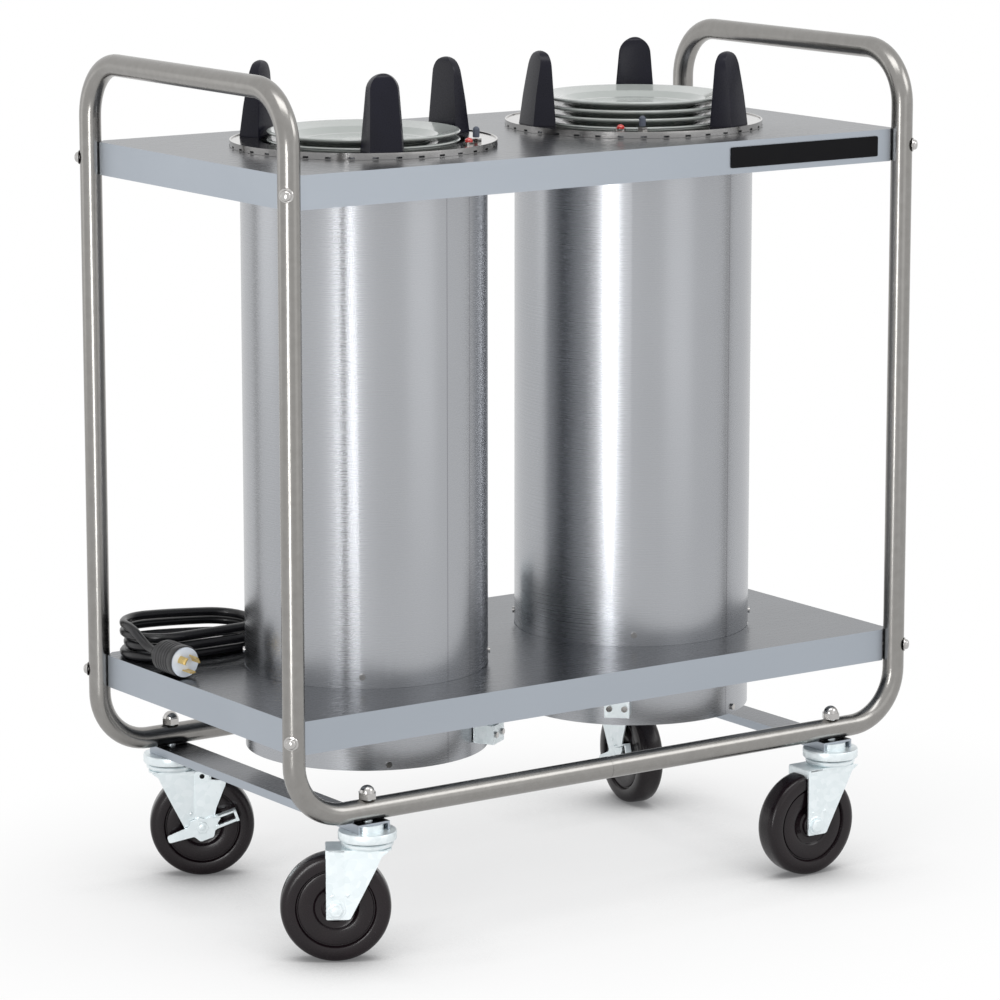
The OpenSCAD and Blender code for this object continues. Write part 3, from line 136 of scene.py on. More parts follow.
tail_line = curve_through([coil_line[-1]] + millimetres([
    (-374, 205, 325.1), (-388, 202.8, 325.3), (-400.3, 196.6, 325.3), (-410, 187, 325.3),
    (-416, 175.5, 325.3), (-418.2, 166, 325.2), (-418.6, 156.3, 324), (-418, 146.2, 320.5),
    (-416.4, 137, 314.3), (-414.3, 128, 308.3), (-412.6, 118, 304.6)])
    + [Vector((plug_axis.x, plug_back, plug_axis.z))], 3)
cord_line = lead_line + coil_line[1:] + tail_line[1:]

# %% [markdown]
# A curve with a round bevel is the natural way to draw a cord. The route stays a plain line that
# can be measured, and each point carries the cord's half thickness.

# %% Cord
cord_curve = bpy.data.curves.new("power_cord", "CURVE")
cord_curve.dimensions = "3D"
cord_curve.bevel_depth = 1.0  # scaled by each point's own radius
cord_curve.bevel_resolution = 5
cord_curve.use_fill_caps = True
spline = cord_curve.splines.new("POLY")
spline.points.add(len(cord_line) - 1)
for knot, place in zip(spline.points, cord_line):
    knot.co = (*place, 1.0)
    knot.radius = cord_across / 2
spline.use_smooth = True
power_cord = bpy.data.objects.new("power_cord", cord_curve)
bpy.context.scene.collection.objects.link(power_cord)
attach(power_cord, "cart")
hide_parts("cord_lead", "cord_coil", "cord_tail")
print("cord replaced its three solids")

# %% [markdown]
# Every finish here is a small node graph. A brushed surface is noise stretched along the stroke
# of the belt, which moves the roughness and the bump a little, so one helper takes the stretch as
# its argument and each metal asks for its own. The shader's own sockets hold the plain values.

# %% Finish helpers
def finish(name, colour, metallic=0.0, roughness=0.5, **sockets):
    """A new material and its main shader, with plain values set on the shader's sockets."""
    material = bpy.data.materials.new(name)
    material.use_nodes = True
    shader = material.node_tree.nodes["Principled BSDF"]
    shader.inputs["Base Color"].default_value = (*colour, 1.0)
    shader.inputs["Metallic"].default_value = metallic
    shader.inputs["Roughness"].default_value = roughness
    for key, value in sockets.items():
        shader.inputs[key.replace("_", " ")].default_value = value
    return material, shader


def add(material, kind, **values):
    """A new node, with values set on its properties or, failing that, on its sockets."""
    node = material.node_tree.nodes.new(kind)
    for key, value in values.items():
        if hasattr(node, key):
            setattr(node, key, value)
        else:
            node.inputs[key.replace("_", " ")].default_value = value
    return node


def wire(material, a, b):
    material.node_tree.links.new(a, b)


def maths(material, operation, *values):
    """A maths node's result. Each value is a number or the output of another node."""
    node = add(material, "ShaderNodeMath", operation=operation)
    for socket, value in zip(node.inputs, values):
        if isinstance(value, float):
            socket.default_value = value
        else:
            wire(material, value, socket)
    return node.outputs[0]


def stretched_noise(material, stretch, detail=4.0, offset=(0, 0, 0)):
    """Noise over the cart's own coordinates, drawn out along the smallest stretch."""
    place = add(material, "ShaderNodeTexCoord")
    mapping = add(material, "ShaderNodeMapping")
    mapping.inputs["Scale"].default_value = stretch
    mapping.inputs["Location"].default_value = offset
    noise = add(material, "ShaderNodeTexNoise", Scale=1.0, Detail=detail, Roughness=0.6)
    wire(material, place.outputs["Object"], mapping.inputs["Vector"])
    wire(material, mapping.outputs["Vector"], noise.inputs["Vector"])
    return noise.outputs["Fac"]


def ranged(material, value, low, high, start=0.3, end=0.7):
    """A value between start and end, spread over low to high."""
    node = add(material, "ShaderNodeMapRange")
    for key, v in (("From Min", start), ("From Max", end), ("To Min", low), ("To Max", high)):
        node.inputs[key].default_value = v
    wire(material, value, node.inputs["Value"])
    return node.outputs["Result"]


mix_from, mix_to = 6, 7  # a Mix node's two colour sockets, which share their names with others


def tinted(material, value, dark, light):
    """A colour between dark and light."""
    node = add(material, "ShaderNodeMix", data_type="RGBA")
    node.inputs[mix_from].default_value = (*dark, 1.0)
    node.inputs[mix_to].default_value = (*light, 1.0)
    wire(material, value, node.inputs["Factor"])
    return node.outputs[2]


def bumped(material, shader, height, strength, distance):
    node = add(material, "ShaderNodeBump")
    node.inputs["Strength"].default_value = strength
    node.inputs["Distance"].default_value = distance
    wire(material, height, node.inputs["Height"])
    wire(material, node.outputs["Normal"], shader.inputs["Normal"])


def brushed(name, dark, light, roughness, stretch, strength=0.12, spread=0.06, **sockets):
    """Metal brushed along one direction."""
    material, shader = finish(name, light, 1.0, roughness, **sockets)
    fine = stretched_noise(material, stretch)
    wide = stretched_noise(material, tuple(s * 0.06 for s in stretch), 2.0, (3, 5, 7))
    wire(material, tinted(material, wide, dark, light), shader.inputs["Base Color"])
    wire(material, ranged(material, fine, roughness - spread, roughness + spread),
         shader.inputs["Roughness"])
    bumped(material, shader, fine, strength, 0.0002)
    return material


def dress(material, *names):
    """Give the named solids one material."""
    for n in names:
        nodes[n].data.materials.clear()
        nodes[n].data.materials.append(material)


print("helpers ready")

# %% [markdown]
# The frame is one-inch stainless tube with a satin polish. The belt runs round the tube, and
# years of hands leave it a little warmer and softer than sheet metal. A very fine all-round grain
# with a slow warm tint gives that without drawing lines along the bends.

# %% Tube, decks and silos
tube_satin = brushed("tube_satin", (0.25, 0.242, 0.23), (0.315, 0.307, 0.295), 0.25,
                     (1400, 1400, 1400), 0.02, 0.02)
dress(tube_satin, "left_frame_tube", "right_frame_tube", "rail_couplers")


def deck_finish_and_painted_shade():
    """Brushed sheet with painted shade: its top is given a much darker colour than its turned-down
    apron.
    """
    material, shader = finish("deck_sheet", (0.5, 0.53, 0.56), 1.0, 0.3)
    fine = stretched_noise(material, (30, 1600, 1600))
    wide = stretched_noise(material, (3, 9, 9), 3.0, (2, 1, 4))
    normal = add(material, "ShaderNodeNewGeometry")
    parts = add(material, "ShaderNodeSeparateXYZ")
    wire(material, normal.outputs["Normal"], parts.inputs["Vector"])
    flat = ranged(material, parts.outputs["Z"], 0.0, 1.0, 0.4, 0.6)
    # Painted shade: the top, found by its upward normal, is coloured far darker than the apron.
    top = tinted(material, wide, (0.13, 0.137, 0.15), (0.16, 0.17, 0.187))
    side = tinted(material, wide, (0.37, 0.405, 0.45), (0.41, 0.445, 0.49))
    both = add(material, "ShaderNodeMix", data_type="RGBA")
    wire(material, flat, both.inputs["Factor"])
    wire(material, side, both.inputs[mix_from])
    wire(material, top, both.inputs[mix_to])
    wire(material, both.outputs[2], shader.inputs["Base Color"])
    grain = ranged(material, fine, -0.03, 0.03)
    base = ranged(material, parts.outputs["Z"], 0.42, 0.27, 0.4, 0.6)
    wire(material, maths(material, "ADD", grain, base), shader.inputs["Roughness"])
    bumped(material, shader, fine, 0.04, 0.0002)
    return material


dress(deck_finish_and_painted_shade(), "upper_deck", "lower_deck", "left_cross_brace", "right_cross_brace")


def silo_finish(name, centre_x, seams):
    """Sheet rolled into a tube, brushed round it, with thin welded seams at the given bearings."""
    material, shader = finish(name, (0.62, 0.63, 0.65), 1.0, 0.27)
    fine = stretched_noise(material, (9, 9, 2600))
    cloud = stretched_noise(material, (5, 5, 2.5), 3.0, (centre_x * 9, 0, 0))
    place = add(material, "ShaderNodeTexCoord")
    parts = add(material, "ShaderNodeSeparateXYZ")
    wire(material, place.outputs["Object"], parts.inputs["Vector"])
    across = maths(material, "SUBTRACT", parts.outputs["X"], centre_x)
    angle = maths(material, "ARCTAN2", parts.outputs["Y"], across)
    line = 0.0
    for seam in seams:
        away = maths(material, "SUBTRACT", angle, math.radians(seam))
        near = ranged(material, maths(material, "ABSOLUTE", away), 1.0, 0.0, 0.0025, 0.0065)
        line = maths(material, "MAXIMUM", line, near)
    plain = tinted(material, cloud, (0.35, 0.36, 0.38), (0.42, 0.43, 0.45))
    seamed = add(material, "ShaderNodeMix", data_type="RGBA")
    seamed.inputs[mix_to].default_value = (0.26, 0.26, 0.28, 1.0)
    wire(material, line, seamed.inputs["Factor"])
    wire(material, plain, seamed.inputs[mix_from])
    wire(material, seamed.outputs[2], shader.inputs["Base Color"])
    wire(material, ranged(material, fine, 0.26, 0.285), shader.inputs["Roughness"])
    bumped(material, shader, fine, 0.012, 0.0002)
    return material


dress(silo_finish("left_silo_sheet", -0.192, (-82, -66)), "left_silo_tube", "left_silo_base")
dress(silo_finish("right_silo_sheet", 0.192, (-73,)), "right_silo_tube", "right_silo_base")
print("frame, decks and silos are finished")

# %% [markdown]
# The flanges, screws and nuts are polished, the casters are zinc plated, which leaves a faint
# blue spangle, and the plates are glazed. Each of these is one short graph. The plates get a
# clear coat, as glaze is a glass skin over a duller body. Their colour is a grey darker than
# the glaze's own white, as painted shade for their wells.

# %% Small metals, plates and plastics
corner_names = ("front_left", "front_right", "rear_left", "rear_right")
polished = brushed("polished_steel", (0.42, 0.41, 0.40), (0.52, 0.51, 0.50), 0.14,
                   (90, 90, 500), 0.02, 0.02)
dress(polished, "left_flange", "right_flange", "deck_bolts", "deck_nuts", "caster_acorn_nuts",
      "silo_screws", "connector_screws", "pilot_bezels", "switch_nuts")


def zinc_finish():
    """Zinc plate, whose crystals differ a little in colour and roughness."""
    material, shader = finish("bright_zinc", (0.80, 0.86, 0.88), 0.65, 0.36)
    cells = add(material, "ShaderNodeTexVoronoi", Scale=140.0)
    place = add(material, "ShaderNodeTexCoord")
    wire(material, place.outputs["Object"], cells.inputs["Vector"])
    spangle = add(material, "ShaderNodeSeparateColor")
    wire(material, cells.outputs["Color"], spangle.inputs["Color"])
    wire(material, tinted(material, spangle.outputs[0], (0.76, 0.83, 0.85), (0.84, 0.90, 0.92)),
         shader.inputs["Base Color"])
    wire(material, ranged(material, spangle.outputs[1], 0.31, 0.38, 0.0, 1.0),
         shader.inputs["Roughness"])
    bumped(material, shader, stretched_noise(material, (500, 500, 500)), 0.08, 0.0003)
    return material


bright_zinc = zinc_finish()
dress(bright_zinc, "caster_stems", "cable_connectors", "junction_box", "junction_box_cover",
      *[name + "_fork" for name in corner_names])


def speckled(name, dark, light, roughness, grain=900.0, strength=0.15, **sockets):
    """Moulded plastic or rubber with a fine even grain."""
    material, shader = finish(name, light, 0.0, roughness, **sockets)
    grainy = stretched_noise(material, (grain, grain, grain), 2.0)
    cloud = stretched_noise(material, (30, 30, 30), 3.0, (1, 2, 3))
    wire(material, tinted(material, cloud, dark, light), shader.inputs["Base Color"])
    wire(material, ranged(material, grainy, roughness - 0.05, roughness + 0.05),
         shader.inputs["Roughness"])
    bumped(material, shader, grainy, strength, 0.0003)
    return material


# Painted shade: the plates' colour is a dim grey that stands for the shade in their wells.
plate_glaze = speckled("plate_glaze", (0.37, 0.40, 0.385), (0.43, 0.455, 0.44), 0.22,
                       60.0, 0.03, Coat_Weight=0.5, Coat_Roughness=0.06)
guide_plastic = speckled("guide_plastic", (0.004, 0.004, 0.009), (0.008, 0.008, 0.017),
                         0.3, strength=0.05, Specular_IOR_Level=0.22)
wheel_rubber = speckled("wheel_rubber", (0.0045, 0.0028, 0.004), (0.010, 0.0045, 0.0065),
                        0.24, strength=0.04, Specular_IOR_Level=0.35)
cord_rubber = speckled("cord_rubber", (0.005, 0.005, 0.006), (0.009, 0.009, 0.011), 0.3,
                       1500.0, 0.08)
grip_rubber = speckled("grip_rubber", (0.008, 0.008, 0.009), (0.014, 0.014, 0.016), 0.42,
                       1200.0, 0.1)
white_nylon = speckled("white_nylon", (0.62, 0.68, 0.76), (0.70, 0.75, 0.82), 0.32,
                       700.0, 0.05)
boot_slate = speckled("boot_slate", (0.05, 0.06, 0.085), (0.08, 0.095, 0.13), 0.5)
blank_black = speckled("blank_black", (0.002, 0.002, 0.003), (0.004, 0.004, 0.005), 0.45, 300.0,
                       0.03, Specular_IOR_Level=0.1)
lens_red = speckled("lens_red", (0.42, 0.012, 0.010), (0.62, 0.03, 0.02), 0.12, 200.0, 0.02,
                    Coat_Weight=1.0, Coat_Roughness=0.03)
dress(plate_glaze, "left_plates", "right_plates")
dress(wheel_rubber, *[name + "_wheel" for name in corner_names])
dress(boot_slate, "left_switch_lever", "right_switch_lever")
dress(lens_red, "pilot_lenses")
dress(blank_black, "name_plate")
dress(grip_rubber, "plug_body", "cord_strain_relief", "supply_leads")
dress(white_nylon, "plug_face")
dress(brushed("blade_brass", (0.66, 0.46, 0.16), (0.83, 0.62, 0.25), 0.22, (400, 400, 60)),
      "plug_blades")
dress(brushed("mill_steel", (0.36, 0.36, 0.37), (0.48, 0.48, 0.49), 0.35, (120, 120, 120)),
      "left_carrier", "right_carrier", "left_springs", "right_springs")
dress(brushed("heater_sheath", (0.10, 0.095, 0.09), (0.18, 0.17, 0.16), 0.5, (200, 200, 200)),
      "left_heater", "right_heater")
power_cord.data.materials.append(cord_rubber)
print("materials", len(bpy.data.materials))

# %% [markdown]
# A few pieces need softer shapes than the solids have. They are built from rings of points, each
# ring joined to the next, because turned and lofted shapes cover nearly everything on a caster or
# a plug. One helper joins rings, and another turns a profile about an axis.

# %% Mesh helpers
def mesh_piece(name, points, faces, material, body, slot_name, replaced=(), bevel=0.0):
    """A piece that rides on a body and stands for the replaced solids."""
    mesh = bpy.data.meshes.new(name)
    mesh.from_pydata([tuple(p) for p in points], [], faces)
    tidy = bmesh.new()
    tidy.from_mesh(mesh)
    bmesh.ops.remove_doubles(tidy, verts=tidy.verts, dist=1e-6)
    bmesh.ops.recalc_face_normals(tidy, faces=tidy.faces)
    tidy.to_mesh(mesh)
    tidy.free()
    mesh.materials.append(material)
    piece = bpy.data.objects.new(name, mesh)
    bpy.context.scene.collection.objects.link(piece)
    if bevel:
        edge = piece.modifiers.new("edge", "BEVEL")
        edge.width, edge.segments, edge.limit_method = bevel, 3, "ANGLE"
        edge.angle_limit = math.radians(35)
    for polygon in mesh.polygons:
        polygon.use_smooth = True
    mesh.set_sharp_from_angle(angle=math.radians(32))
    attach(piece, body)
    if replaced:
        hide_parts(*replaced)
    return piece


def join_rings(rings, closed=False):
    """Points and faces of a loft through rings of equal count, with its ends filled."""
    n = len(rings[0])
    points = [p for ring in rings for p in ring]
    spans = len(rings) if closed else len(rings) - 1
    faces = []
    for i in range(spans):
        a, b = i * n, (i + 1) % len(rings) * n
        faces += [(a + k, a + (k + 1) % n, b + (k + 1) % n, b + k) for k in range(n)]
    if not closed:
        faces += [tuple(range(n))[::-1], tuple(range((len(rings) - 1) * n, len(rings) * n))]
    return points, faces


def on_axis(place, along):
    """From a turned shape's own frame, with its axis up, to the cart's."""
    spin = Vector(along).to_track_quat("Z", "Y").to_matrix().to_4x4()
    return Matrix.Translation(place) @ spin


def turned(profile, place, along=(0, 0, 1), sides=48):
    """A profile of (radius, height) turned about an axis through place, closed at both ends."""
    move = on_axis(place, along)
    rings = []
    for r, h in profile:
        r = max(r, 1e-5)
        rings.append([move @ Vector((r * math.cos(2 * math.pi * k / sides),
                                     r * math.sin(2 * math.pi * k / sides), h))
                      for k in range(sides)])
    return join_rings(rings)


def spun(profile, place, along, sides=96):
    """A closed profile of (radius, height) turned about an axis, open along its middle."""
    move = on_axis(place, along)
    rings = []
    for k in range(sides):
        a = 2 * math.pi * k / sides
        rings.append([move @ Vector((r * math.cos(a), r * math.sin(a), h)) for r, h in profile])
    return join_rings(rings, closed=True)


def gathered(parts):
    """Several (points, faces) parts as one."""
    points, faces = [], []
    for p, f in parts:
        faces += [tuple(i + len(points) for i in face) for face in f]
        points += list(p)
    return points, faces


print("mesh helpers ready")

# %% [markdown]
# The plate guides are hollow mouldings that stand on each flange. Their outer face leans in, their
# inner face is broad, and the top is fully round. A loft of rounded trapezoids, narrowed along a
# quarter circle at the top, gives the soft edges that a cut solid lacks.

# %% Plate guides
flange_level = 0.8965
guide_tall, guide_inner, guide_deep, guide_thin = 0.087, 0.1185, 0.027, 0.010
guide_foot_broad, guide_top_broad = 0.051, 0.036
face_inset, face_inset_lost = 0.0068, 0.004
waist, waist_slim = 0.45, 0.005
top_round, corner_round = 0.005, 0.0022
silo_turns = {"left": (-0.192, -53), "right": (0.192, -127)}
guide_turns = (-60, 60, 180)


def guide_ring(h):
    """One level of a guide, as a rounded trapezoid in (radial, sideways, up)."""
    share = h / guide_tall
    top_half = guide_top_broad / 2
    round_start = guide_tall - top_half
    inner_half = guide_foot_broad / 2 + (top_half - guide_foot_broad / 2) * share
    outer_half = inner_half - face_inset + face_inset_lost * share
    if h > round_start:
        drop = (h - round_start) / top_half
        shrink = math.sqrt(max(0.0, 1 - drop * drop))
        inner_half, outer_half = inner_half * shrink, outer_half * shrink
    if share < waist:
        heel = guide_deep - waist_slim * share / waist
    else:
        heel = (guide_deep - waist_slim
                + (guide_thin + 0.008 - guide_deep) * (share - waist) / (1 - waist))
    foot = 0.003 * share
    top_gap = guide_tall - h
    if top_gap < top_round:
        inset = top_round - math.sqrt(max(0.0, top_round ** 2 - (top_round - top_gap) ** 2))
        foot, heel = foot + inset, heel - inset
    corners = [(foot, -inner_half), (heel, -outer_half), (heel, outer_half), (foot, inner_half)]
    ring = []
    for i, (x, y) in enumerate(corners):
        for other, order in ((corners[i - 1], 0), (corners[(i + 1) % 4], 1)):
            dx, dy = other[0] - x, other[1] - y
            size = math.hypot(dx, dy) or 1e-6
            cut = min(corner_round, size * 0.3)
            ring.append((x + dx / size * cut, y + dy / size * cut))
            if order == 0:
                ring.append((x + dx / size * cut * 0.3, y + dy / size * cut * 0.3))
    return [Vector((guide_inner + x, y, flange_level + 0.0002 + h)) for x, y in ring]


guide_levels = [guide_tall * s for s in (0, 0.02, 0.2, 0.4, 0.6, 0.75, 0.82, 0.87, 0.91, 0.94,
                                         0.965, 0.985, 0.996, 0.9995)]
for side, (centre_x, turn) in silo_turns.items():
    parts = []
    for extra in guide_turns:
        place = Matrix.Translation((centre_x, 0, 0)) @ Matrix.Rotation(
            math.radians(turn + extra), 4, "Z")
        parts.append(join_rings([[place @ p for p in guide_ring(h)] for h in guide_levels]))
    mesh_piece(side + "_guides", *gathered(parts), guide_plastic, "cart", "guide_plastic",
               [side + "_plate_guides"])
print("six plate guides")

# %% [markdown]
# A pressed caster fork is one plate bent down into two legs, with a square foot round the axle
# bolt and a leading edge that sweeps up to the swivel. Its outline comes from the caster seen
# square on. Each leg is drawn flat and thickened, and a bevel rolls the edges as a press does.

# %% Caster places and plates
casters = {"front_left": (-0.332, -0.215, 148), "front_right": (0.332, -0.215, 179),
           "rear_left": (-0.332, 0.215, -30), "rear_right": (0.332, 0.215, -99)}
trail_length, axle_level, leg_inside, leg_outside = 0.036, 0.0625, 0.0176, 0.0201


def caster_place(name):
    """From a caster's own frame, with its wheel trailing along +X, to the cart's."""
    x, y, turn = casters[name]
    return Matrix.Translation((x, y, 0)) @ Matrix.Rotation(math.radians(turn), 4, "Z")


def rounded(corners, steps=5):
    """A closed outline from (x, y, radius) corners, with each corner drawn as an arc."""
    out = []
    for i, (x, y, r) in enumerate(corners):
        here = Vector((x, y))
        a = (Vector(corners[i - 1][:2]) - here)
        b = (Vector(corners[(i + 1) % len(corners)][:2]) - here)
        if r == 0:
            out.append(here)
            continue
        half = a.angle(b) / 2
        back = min(r / math.tan(half), a.length * 0.48, b.length * 0.48)
        p, q = here + a.normalized() * back, here + b.normalized() * back
        for s in range(steps + 1):
            u = s / steps
            out.append(p * (1 - u) ** 2 + here * 2 * u * (1 - u) + q * u * u)
    return out


def upright_plate(outline, near, far, place):
    """An outline of (along, up) millimetres thickened sideways from near to far, in metres."""
    return join_rings([[place @ Vector((p.x / 1000, y, p.y / 1000)) for p in outline]
                       for y in (near, far)])


def level_plate(outline, low, high, place):
    """The same for an outline seen from above, thickened from low to high."""
    return join_rings([[place @ Vector((p.x / 1000, p.y / 1000, z)) for p in outline]
                       for z in (low, high)])


bend_line, leg_front_reach = 26.5, 51.0  # millimetres along the leg
flare, flare_start, flare_rise = 5.0, 55.0, 76.0  # sideways, and from which height over how much
leg_back = rounded([(47, 131, 2), (47, 50.8, 2), (bend_line, 50.8, 0), (bend_line, 131, 0)])
leg_front = rounded([(bend_line, 131, 0), (bend_line, 50.8, 0), (20, 50.8, 8), (3, 84.5, 12),
                     (-10.5, 112, 14), (-15.5, 124, 4), (-24.5, 131, 1)])


def flared_plate(outline, side, place):
    """The leg's front part, bent outward from the bend line so that it meets the round crown."""
    rings = []
    for y in (leg_inside, leg_outside):
        ring = []
        for p in outline:
            lean = (flare * (bend_line - p.x) / leg_front_reach
                    * max(0.0, (p.y - flare_start) / flare_rise))
            ring.append(place @ Vector((p.x / 1000, side * (y + lean / 1000), p.y / 1000)))
        rings.append(ring)
    return join_rings(rings)


crown_outline = rounded([(47, -20.1, 3), (47, 20.1, 3), (26, 20.1, 2), (-16, 24.4, 8),
                         (-27, 12, 8), (-27, -12, 8), (-16, -24.4, 8), (26, -20.1, 2)])
print("leg outline points", len(leg_front) + len(leg_back))

# %% [markdown]
# Each fork is its two legs, a crown plate, the ring of the swivel race and the round seats of the
# axle bolt. The rear forks also have a guard plate and an ear on one side. All of it is one piece
# here, because it swivels together. The cup above stays still and gets a rolled rim of its own.

# %% Caster forks
crown_low, crown_high, race_low = 0.1286, 0.1311, 0.1306
guard_thick, ear_thick, cup_rim_low = 0.0015, 0.0033, 0.1395
race_profile = [(0.0255, 0.0), (0.0262, 0.0006), (0.0288, 0.0022), (0.0296, 0.0036),
                (0.0296, 0.0062), (0.0288, 0.0074), (0.0255, 0.0076)]
seat_profile = [(0.0112, -0.0005), (0.0112, 0.0006), (0.0104, 0.0011), (0.0080, 0.0011)]
pip_profile = [(0.0022, -0.0003), (0.0022, 0.0003), (0.0012, 0.0009), (0.0004, 0.0010)]
rim_profile = [(0.0323, 0.0003), (0.0326, 0.0003), (0.0331, 0.0012), (0.0331, 0.0086),
               (0.0326, 0.0100), (0.0323, 0.0104)]
front_lip = rounded([(44.6, 130.5, 0.5), (47.4, 130.5, 1), (47.4, 120.5, 1), (44.9, 120.5, 0.5)],
                    3)
guard = rounded([(27.5, 128, 2), (45, 128, 1), (46, 121, 1), (66, 119, 4), (53, 86, 6),
                 (48, 62, 6), (30, 56, 6), (27.5, 66, 2)])
ear = rounded([(28, 131.5, 2), (44.5, 131.5, 2), (44.5, 119.5, 2), (28, 119.5, 2)])
for name in casters:
    place = caster_place(name)
    origin = place.translation
    parts = [upright_plate(leg_back, -leg_outside, -leg_inside, place),
             upright_plate(leg_back, leg_inside, leg_outside, place),
             flared_plate(leg_front, 1, place), flared_plate(leg_front, -1, place),
             level_plate(crown_outline, crown_low, crown_high, place),
             turned(race_profile, origin + Vector((0, 0, race_low)))]
    for side in (1, -1):
        out = place.to_3x3() @ Vector((0, side, 0))
        parts.append(turned(seat_profile,
                            place @ Vector((trail_length, side * leg_outside, axle_level)),
                            out, 32))
        for x, z in ((0.040, 0.078), (0.0225, 0.079)):
            parts.append(turned(pip_profile, place @ Vector((x, side * leg_outside, z)), out, 16))
    parts.append(upright_plate(front_lip, -0.018, 0.018, place))
    if name.startswith("rear"):
        parts.append(upright_plate(guard, -leg_outside - guard_thick, -leg_outside + 0.0002,
                                   place))
        parts.append(upright_plate(ear, -leg_outside - ear_thick, -leg_outside - 0.0014, place))
    mesh_piece(name + "_pressed_fork", *gathered(parts), bright_zinc, name + "_caster", "zinc",
               [name + "_fork"], 0.0006)
    if name.startswith("rear"):
        # Painted shade: a thin black disc on the ear stands for the shade inside its hole.
        eye = turned([(0.0030, 0.0), (0.0030, 0.0003), (0.0004, 0.0003)],
                     place @ Vector((0.0362, -leg_outside - ear_thick, 0.1255)),
                     place.to_3x3() @ Vector((0, -1, 0)), 24)
        mesh_piece(name + "_ear_hole_shade", *eye, blank_black, name + "_caster", "zinc")
rims = [spun(rim_profile, caster_place(name).translation + Vector((0, 0, cup_rim_low)), (0, 0, 1))
        for name in casters]
mesh_piece("caster_cup_rims", *gathered(rims), bright_zinc, "cart", "zinc")
print("four pressed forks")

# %% [markdown]
# Each wheel turns on a hexagon bolt through the fork's feet. The head and the nut have
# chamfered corners and the bolt's rounded end stands out of the nut, which catches small
# bright points of light. Turning a profile with only six sides gives such a hexagon directly.

# %% Axle bolts
nut_corner, nut_face, nut_tall, shank_half = 0.00866, 0.0070, 0.0047, 0.0215
nut_profile = [(0.0001, 0.0), (nut_face, 0.0), (nut_corner, 0.0008),
               (nut_corner, nut_tall - 0.0009), (nut_face, nut_tall), (0.0001, nut_tall)]
bolt_end_profile = [(0.0001, 0.0), (0.0042, 0.0), (0.0042, 0.0002), (0.0036, 0.00035),
                    (0.0001, 0.00045)]
for name in casters:
    place = caster_place(name)
    across = place.to_3x3()
    centre = place @ Vector((trail_length, 0, axle_level))
    parts = [turned([(0.0001, -shank_half), (0.0047, -shank_half), (0.0047, shank_half),
                     (0.0001, shank_half)], centre, across @ Vector((0, 1, 0)), 32)]
    for side in (-1, 1):
        out = across @ Vector((0, side, 0))
        foot = centre + out * (leg_outside + 0.0002)
        parts.append(turned(nut_profile, foot, out, 6))
        parts.append(turned(bolt_end_profile, foot + out * (nut_tall - 0.0001), out, 24))
    mesh_piece(name + "_axle_bolt", *gathered(parts), bright_zinc, name + "_caster", "fastener",
               [name + "_axle"])
print("four axle bolts")

# %% [markdown]
# The wheels are hard black rubber on a moulded hub, seen as rings inside rings: a rounded tread,
# a flat side wall, a groove, a shallow web and a raised hub. All of it is one closed profile
# turned about the axle, which leaves the bore open for the axle bolt.

# %% Wheels
wheel_half = [(5.0, 17.0), (13.0, 17.0), (14.0, 16.0), (14.3, 12.0), (16.5, 10.2), (22.5, 10.0),
              (24.0, 10.8), (25.5, 12.6), (27.0, 13.2), (41.0, 13.6), (42.3, 13.2), (43.0, 11.8),
              (44.0, 11.8), (44.8, 13.8), (45.8, 15.5), (47.4, 16.0), (55.0, 15.8), (58.5, 15.0),
              (60.9, 13.0), (62.1, 9.8), (62.5, 6.0)]
wheel_profile = [(r / 1000, h / 1000) for r, h in wheel_half]
wheel_profile += [(r, -h) for r, h in reversed(wheel_profile)]
for name in casters:
    place = caster_place(name)
    tyre = spun(wheel_profile, place @ Vector((trail_length, 0, axle_level)),
                place.to_3x3() @ Vector((0, 1, 0)), 128)
    mesh_piece(name + "_tyre", *tyre, wheel_rubber, name + "_wheel", "wheel_rubber",
               [name + "_wheel"])
print("four wheels, profile points", len(wheel_profile))

# %% [markdown]
# The rear casters carry a side brake: a pressed lever that turns on the axle bolt, with a flat
# tail at one end and a channel-shaped foot pad at the other. The plate is drawn flat and then
# thickened, and the pad is a bent strip. It rides on the brake's own body, so it turns with it.

# %% Brake levers
lever_outline = rounded([(-44, -4, 3.5), (-43.5, 5, 3.5), (-15, 6.5, 4), (-11, 12.5, 3),
                         (2, 12.5, 3), (6, 9.2, 1), (24, 9.2, 1), (24, 2.6, 1), (19, -1, 1),
                         (19, -7, 1), (13, -8.5, 3), (9, -15.5, 4), (-8, -15.5, 4),
                         (-13, -7, 4)])
tread = rounded([(14, -0.2, 1), (45, -0.2, 1.5), (45, -12.5, 4), (24, -12.5, 5)])
rail_low = rounded([(16, -7.0, 1), (16, -3.6, 1), (45, -3.4, 1), (45, -6.4, 1.5)])
rail_end = rounded([(41.6, -6.4, 1), (45, -6.4, 1), (45, 9.2, 1), (41.6, 9.2, 1)])
lever_rise = 20
for name in ("rear_left", "rear_right"):
    hub = (caster_place(name)
           @ Matrix.Translation((trail_length, -leg_outside - 0.0019, axle_level))
           @ Matrix.Rotation(math.radians(-lever_rise), 4, "Y"))
    out = hub.to_3x3() @ Vector((0, -1, 0))
    parts = [upright_plate(lever_outline, -0.0025, 0.0, hub),
             level_plate(tread, 0.0068, 0.0090, hub),
             upright_plate(rail_low, -0.0045, 0.0, hub),
             upright_plate(rail_end, -0.0075, 0.0, hub),
             turned([(0.0022, 0.0), (0.0022, 0.0004), (0.0003, 0.0004)],
                    hub @ Vector((-0.0345, -0.0025, 0.0006)), out, 20)]
    mesh_piece(name + "_brake_lever", *gathered(parts), bright_zinc, name + "_brake", "zinc",
               [name + "_brake"], 0.0004)
print("two brake levers")

# %% [markdown]
# The frame bolts show a polished dome on a dished washer at each post, and the plug is a moulded
# grip with ribs. Both are turned shapes, so the same helper makes them. The plug's front has a
# white face with its three curved blades, which keep their solids.

